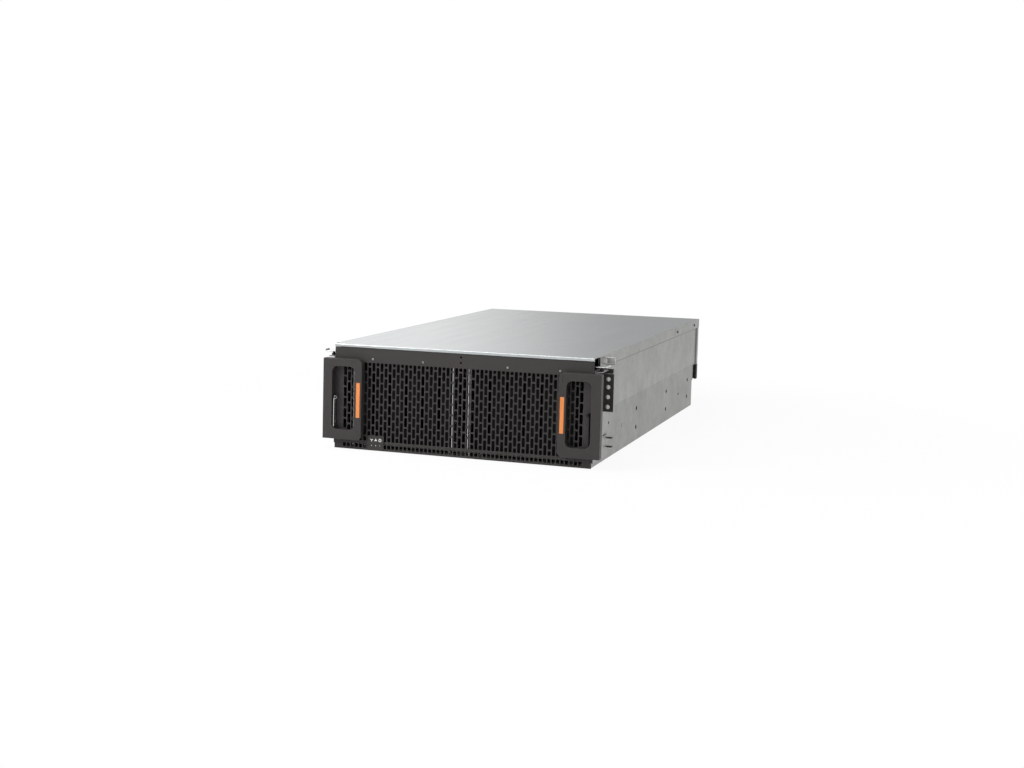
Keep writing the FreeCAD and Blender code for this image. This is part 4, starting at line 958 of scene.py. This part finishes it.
def add_print(form, centre, outer, inner):
    """A thin raised print: a filled outline, or the band between two outlines."""
    ink, reach = 0.12 * MM, sizes().glyph

    def ring(points, depth):
        return [form.verts.new(centre + Vector((p.x * reach, -depth, p.y * reach))) for p in points]

    front, back = ring(outer, ink), ring(outer, -ink)
    bridge(form, front, back)
    if inner is None:
        form.faces.new(front)
        form.faces.new(back[::-1])
        return
    near, far = ring(inner, ink), ring(inner, -ink)
    bridge(form, near, front)
    bridge(form, far, back)
    bridge(form, near, far)


class SHELF_OT_indicator(Step, bpy.types.Operator):
    """Finish the indicator panel, its lenses and its printed pictograms"""

    bl_idname = "shelf.indicator"
    bl_label = "Indicator panel"

    def build(self):
        dress("indicator_panel", 0.35 * MM)
        dress("indicator_lenses", 0.2 * MM)
        face = edge_of("indicator_panel", 0, "y")
        height = edge_of("indicator_panel", 0, "z") + PRINT_HEIGHT
        places = sorted(place.x for place in middles("indicator_lenses"))
        form = bmesh.new()
        for (outer, inner), place in zip(glyph_outlines(), places):
            add_print(form, Vector((place, face, height)), outer, inner)
        bmesh.ops.recalc_face_normals(form, faces=form.faces)
        piece("printed_pictograms", mesh_from(form, "Pictograms"), "lamp_white",
              finish="White screen-print ink")


def drive_mesh(span):
    """One disk drive on end: a cast case with a raised lid on one side and a board on the other."""
    half, end, height = span.x / 2, span.y / 2, span.z
    skin = 0.6 * MM
    case = (-half + skin, -end, 0), (half - skin, end, height)
    lid = (half - skin, -end + 4 * MM, 5 * MM), (half, end - 4 * MM, height - 9 * MM)
    board = (-half, -end + 10 * MM, 4 * MM), (-half + skin, end - 10 * MM, height * 0.7)
    return block_mesh("Drive", [case, lid, board], 0.8 * MM, 1)


def carrier_mesh(span):
    """The moulded grip on a drive: a tray with a thumb bar across it and a release tab."""
    half, end, height = span.x / 2, span.y / 2, span.z
    rail, floor, rim = 2.4 * MM, 1.6 * MM, height - 0.8 * MM
    tray = [((-half, -end, 0), (half, end, floor)),
            ((-half, -end, floor), (-half + rail, end, rim)),
            ((half - rail, -end, floor), (half, end, rim)),
            ((-half + rail, -end, floor), (half - rail, -end + rail, rim)),
            ((-half + rail, end - rail, floor), (half - rail, end, rim))]
    bar = (-half + rail, -end + 16 * MM, 3 * MM), (half - rail, -end + 24 * MM, height)
    tab = (-5 * MM, end - 22 * MM, floor), (5 * MM, end - 8 * MM, height)
    ribs = [((-7 * MM, start * MM, floor), (7 * MM, (start + 2) * MM, floor + MM))
            for start in (-6, 0, 6, 12, 18)]
    return block_mesh("Carrier", tray + [bar, tab] + ribs, 0.35 * MM, 1)


class SHELF_OT_drives(Step, bpy.types.Operator):
    """Fill the bay with disk drives and their carriers"""

    bl_idname = "shelf.drives"
    bl_label = "Disk drives"

    def build(self):
        for row in DRIVE_ROWS:
            self.fill(f"drives_in_row_{row}", f"drive_row_{row}", drive_mesh)
        self.fill("moulded_carriers", "drive_carriers", carrier_mesh)

    def fill(self, name, node, make):
        """Set the same mesh in the place of every solid of a CAD node."""
        places = solid_boxes(node)
        low, high = places[0]
        seeds = [((a.x + b.x) / 2, (a.y + b.y) / 2, a.z) for a, b in places]
        finish = FINISH_OF_SLOT[NODE_SLOTS[node]]
        stand_in(name, repeated(make(high - low), seeds, finish), node)


class SHELF_OT_bay(Step, bpy.types.Operator):
    """Round the edges of the sheets that make the drive bay and the rear frame"""

    bl_idname = "shelf.bay"
    bl_label = "Bay sheets"

    def build(self):
        for node in ("centre_spine", "left_duct_wall", "right_duct_wall", "rear_frame"):
            dress(node, 0.2 * MM, 1)
        # The cross rails take painted shade black in place of their own finish, for the dark bay
        # behind the slots.
        dress("cage_cross_rails", 0.2 * MM, 1, "Painted shade black")
        low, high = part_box("centre_spine")
        behind = edge_of("front_grille", 1, "y") + 0.4 * MM
        hems = [across(sign, high.x - 1.6 * MM, high.x - 0.4 * MM, behind, low.y, 15 * MM,
                       high.z - 4 * MM) for sign in SIGNS.values()]
        blocks("spine_hems", hems, 0.2 * MM, "zinc_plate")


def blade_sections(root, tip, length):
    """Section lines of one fan blade from hub to tip: chord and pitch fall outwards."""
    rows = []
    for step in range(6):
        share = step / 5
        radius = root + (tip - root) * share
        pitch = math.radians(52 - 24 * share)
        chord = length * 0.5 / math.sin(pitch)
        line = []
        for along in range(7):
            place = along / 6 - 0.5
            bow = 0.09 * chord * (1 - (2 * place) ** 2)
            swing = (place * chord * math.cos(pitch) + bow) / radius + 0.25 * share
            line.append(Vector((radius * math.cos(swing), place * chord * math.sin(pitch),
                                radius * math.sin(swing))))
        rows.append(line)
    return rows


def impeller_mesh(low, high):
    """A moulded hub with a domed nose and five curved blades, between two corners."""
    centre, length = (low + high) / 2, high.y - low.y
    hub, tip = 19 * MM, (high.x - low.x) / 2
    whole = bmesh.new()
    profile = [(0, 1.5 * MM), (hub * 0.6, 0.2 * MM), (hub * 0.9, 1.2 * MM), (hub, 4 * MM),
               (hub, length), (hub - 2 * MM, length), (hub - 2 * MM, length - 3 * MM),
               (0, length - 3 * MM)]
    add_turned(whole, profile, 48, (centre.x, low.y, centre.z), along_y=True)
    bmesh.ops.recalc_face_normals(whole, faces=whole.faces)
    form = bmesh.new()
    rows = blade_sections(hub - 1.5 * MM, tip - 0.6 * MM, length * 0.8)
    for index in range(5):
        turn = Matrix.Rotation(math.radians(72 * index), 3, "Y")
        grid = [[form.verts.new(centre + turn @ point) for point in line] for line in rows]
        for a, b in zip(grid, grid[1:]):
            for i in range(len(a) - 1):
                form.faces.new((a[i], a[i + 1], b[i + 1], b[i]))
    bmesh.ops.recalc_face_normals(form, faces=form.faces)
    blades = loose("Blades", mesh_from(form, "Blades"))
    skin = blades.modifiers.new("Skin", "SOLIDIFY")
    skin.thickness = 1.6 * MM
    skin.offset = 0
    whole.from_mesh(settled(blades))
    return shaded(mesh_from(whole, "Impeller"))


class SHELF_OT_fans(Step, bpy.types.Operator):
    """Finish the four fan modules: housing, wire guard, impeller and latch"""

    bl_idname = "shelf.fans"
    bl_label = "Fan modules"

    def build(self):
        wire = sizes().guard_wire
        for number in FANS:
            module, wheel = f"fan_module_{number}", f"fan_impeller_{number}"
            dress(module, 0.5 * MM)
            dress(f"fan_latch_{number}", 0.5 * MM)
            low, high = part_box(wheel)
            stand_in(f"bladed_{wheel}", impeller_mesh(low, high), wheel)
            centre = (low + high) / 2
            guard = grown("Ring guard", [(centre.x, GUARD_PLANE + wire, centre.z)],
                          FINISH_OF_SLOT["bright_steel"], Rings=5, First_ring=13 * MM,
                          Ring_pitch=8 * MM, Wire=wire)
            guard.shade_smooth()
            piece(f"wire_guard_{number}", guard, "bright_steel", module)


class SHELF_OT_power(Step, bpy.types.Operator):
    """Finish the two power supplies, their latches and bails"""

    bl_idname = "shelf.power"
    bl_label = "Power supplies"

    def build(self):
        for number in (1, 2):
            dress(f"psu_{number}", 0.3 * MM)
            dress(f"psu_latch_{number}", 0.5 * MM)
            dress(f"psu_bail_{number}", 0.9 * MM, 3)


class SHELF_OT_interface(Step, bpy.types.Operator):
    """Finish the two interface modules and their ejector levers"""

    bl_idname = "shelf.interface"
    bl_label = "Interface modules"

    def build(self):
        for number in (1, 2):
            dress(f"io_module_{number}", 0.3 * MM)
            dress(f"io_lever_{number}", 0.8 * MM, 3)


def soft_box(name, place, target, span, power):
    """A rectangular studio lamp aimed at a point."""
    lamp = bpy.data.lights.new(name, "AREA")
    lamp.shape = "RECTANGLE"
    lamp.size, lamp.size_y = span
    lamp.energy = power
    item = bpy.data.objects.new(name, lamp)
    item.location = place
    item.rotation_euler = (Vector(target) - Vector(place)).to_track_quat("-Z", "Y").to_euler()
    bpy.context.scene.collection.objects.link(item)


def eased(tree, value, start, end, low, high):
    """A value that goes smoothly from low to high as another goes from start to end."""
    return add(tree, "MapRange", {
        "Value": value, "From Min": start, "From Max": end, "To Min": low, "To Max": high},
        interpolation_type="SMOOTHSTEP").outputs["Result"]


def make_world():
    """Even studio air: soft grey to light the shelf, white where it is seen or mirrored."""
    world = bpy.data.worlds.new("Studio air")
    tree = emptied(world)
    rays = add(tree, "LightPath").outputs
    glossy = rays["Is Glossy Ray"]
    seen = worked(tree, "MAXIMUM", rays["Is Camera Ray"], rays["Is Transmission Ray"])
    place = add(tree, "TexCoord").outputs["Generated"]
    direction = add(tree, "SeparateXYZ", {"Vector": place}).outputs
    # A pale screen on the left and overhead; what mirrors the right sees a dimmer room.
    screen = eased(tree, direction["X"], -0.36, -0.22, 1.0, 0.4)
    above = eased(tree, direction["Z"], 0.3, 0.6, 0.0, 1.0)
    mirrored = worked(tree, "MULTIPLY", glossy, worked(tree, "MAXIMUM", screen, above))
    lit = worked(tree, "MULTIPLY_ADD", worked(tree, "SUBTRACT", 1.0, glossy), 0.42, mirrored)
    air = add(tree, "Background", {
        "Color": (1, 1, 1, 1), "Strength": worked(tree, "MAXIMUM", seen, lit)})
    add(tree, "OutputWorld", {"Surface": air})
    bpy.context.scene.world = world


def make_floor():
    """A plain white sweep that shows only the shelf's shadow."""
    low, high = (Vector(corner) for corner in CAD_BOX)
    centre = (low + high) / 2
    material = bpy.data.materials.new("White floor")
    tree = emptied(material)
    paint = add(tree, "BsdfDiffuse", {"Color": (0.98, 0.98, 0.98, 1)})
    glow = add(tree, "Emission", {"Color": (1, 1, 1, 1), "Strength": 1.0})
    rays = add(tree, "LightPath").outputs
    seen = worked(tree, "MAXIMUM", rays["Is Camera Ray"], rays["Is Glossy Ray"])
    where = add(tree, "TexCoord").outputs["Object"]
    away = add(tree, "VectorMath", {0: where, 1: (centre.x, centre.y, low.z)},
               operation="DISTANCE").outputs["Value"]
    clean = eased(tree, away, 0.5, 1.1, 0.92, 1.0)
    mixed = add(tree, "MixShader", {
        "Fac": worked(tree, "MULTIPLY", seen, clean), 1: paint, 2: glow})
    add(tree, "OutputMaterial", {"Surface": mixed})
    form = bmesh.new()
    reach, level = 12.0, low.z - 0.2 * MM
    form.faces.new([form.verts.new((x * reach, y * reach, level))
                    for x, y in ((-1, -1), (1, -1), (1, 1), (-1, 1))])
    floor = loose("Floor", mesh_from(form, "Floor"))
    floor.data.materials.append(material)


def make_camera():
    """The viewing place: low, in front and to the right."""
    yaw, pitch, roll = (math.radians(turn) for turn in VIEW_TURN)
    ahead = Vector((math.sin(yaw) * math.cos(pitch), math.cos(yaw) * math.cos(pitch),
                    -math.sin(pitch)))
    level = Vector((math.cos(yaw), -math.sin(yaw), 0))
    up = level.cross(ahead)
    right = level * math.cos(roll) + up * math.sin(roll)
    top = up * math.cos(roll) - level * math.sin(roll)
    pose = Matrix((right, top, -ahead)).transposed().to_4x4()
    pose.translation = VIEW_PLACE
    camera = bpy.data.objects.new("Camera", bpy.data.cameras.new("Camera"))
    camera.matrix_world = pose
    camera.data.sensor_width = 36.0
    camera.data.lens = VIEW_LENS
    camera.data.shift_x, camera.data.shift_y = VIEW_SHIFT
    bpy.context.scene.collection.objects.link(camera)
    bpy.context.scene.camera = camera


class SHELF_OT_stage(Step, bpy.types.Operator):
    """Set the floor, the lamps, the air and the camera"""

    bl_idname = "shelf.stage"
    bl_label = "Stage"

    def build(self):
        make_world()
        make_floor()
        make_camera()
        soft_box("Key", (-1.3, -1.3, 1.3), (-0.1, 0.1, 0.1), (0.9, 0.8), 24)
        soft_box("Fill", (2.4, -0.6, 1.4), (0.2, 0.4, 0.1), (1.4, 1.4), 3)
        soft_box("Top strip", (-0.5, -0.45, 2.3), (-0.1, 0, 0.1), (2.0, 0.6), 20)
        soft_box("Back", (-1.2, 3.0, 2.0), (0, 0.4, 0.1), (2.0, 1.0), 8)
        bpy.context.scene.view_settings.view_transform = "Standard"


OPERATORS = (SHELF_OT_finishes, SHELF_OT_shell, SHELF_OT_front_sheet, SHELF_OT_screws,
             SHELF_OT_handles, SHELF_OT_ears, SHELF_OT_indicator, SHELF_OT_drives, SHELF_OT_bay,
             SHELF_OT_fans, SHELF_OT_power, SHELF_OT_interface, SHELF_OT_stage)


class SHELF_PT_panel(bpy.types.Panel):
    """Lists the pieces, sizes and colours"""

    bl_idname = "SHELF_PT_panel"
    bl_label = "Disk shelf"
    bl_space_type = "VIEW_3D"
    bl_region_type = "UI"
    bl_category = "Disk shelf"

    def draw(self, context):
        for group in (context.scene.shelf_sizes, context.scene.shelf_colours):
            for name in group.__annotations__:
                self.layout.prop(group, name)
        for operator in OPERATORS:
            self.layout.operator(operator.bl_idname)


CLASSES = (ShelfSizes, ShelfColours) + OPERATORS + (SHELF_PT_panel,)


def register():
    for entry in CLASSES:
        bpy.utils.register_class(entry)
    bpy.types.Scene.shelf_sizes = bpy.props.PointerProperty(type=ShelfSizes)
    bpy.types.Scene.shelf_colours = bpy.props.PointerProperty(type=ShelfColours)


def unregister():
    del bpy.types.Scene.shelf_colours
    del bpy.types.Scene.shelf_sizes
    for entry in reversed(CLASSES):
        bpy.utils.unregister_class(entry)


def main():
    register()
    for operator in OPERATORS:
        group, name = operator.bl_idname.split(".")
        getattr(getattr(bpy.ops, group), name)()


if __name__ == "__main__":
    main()
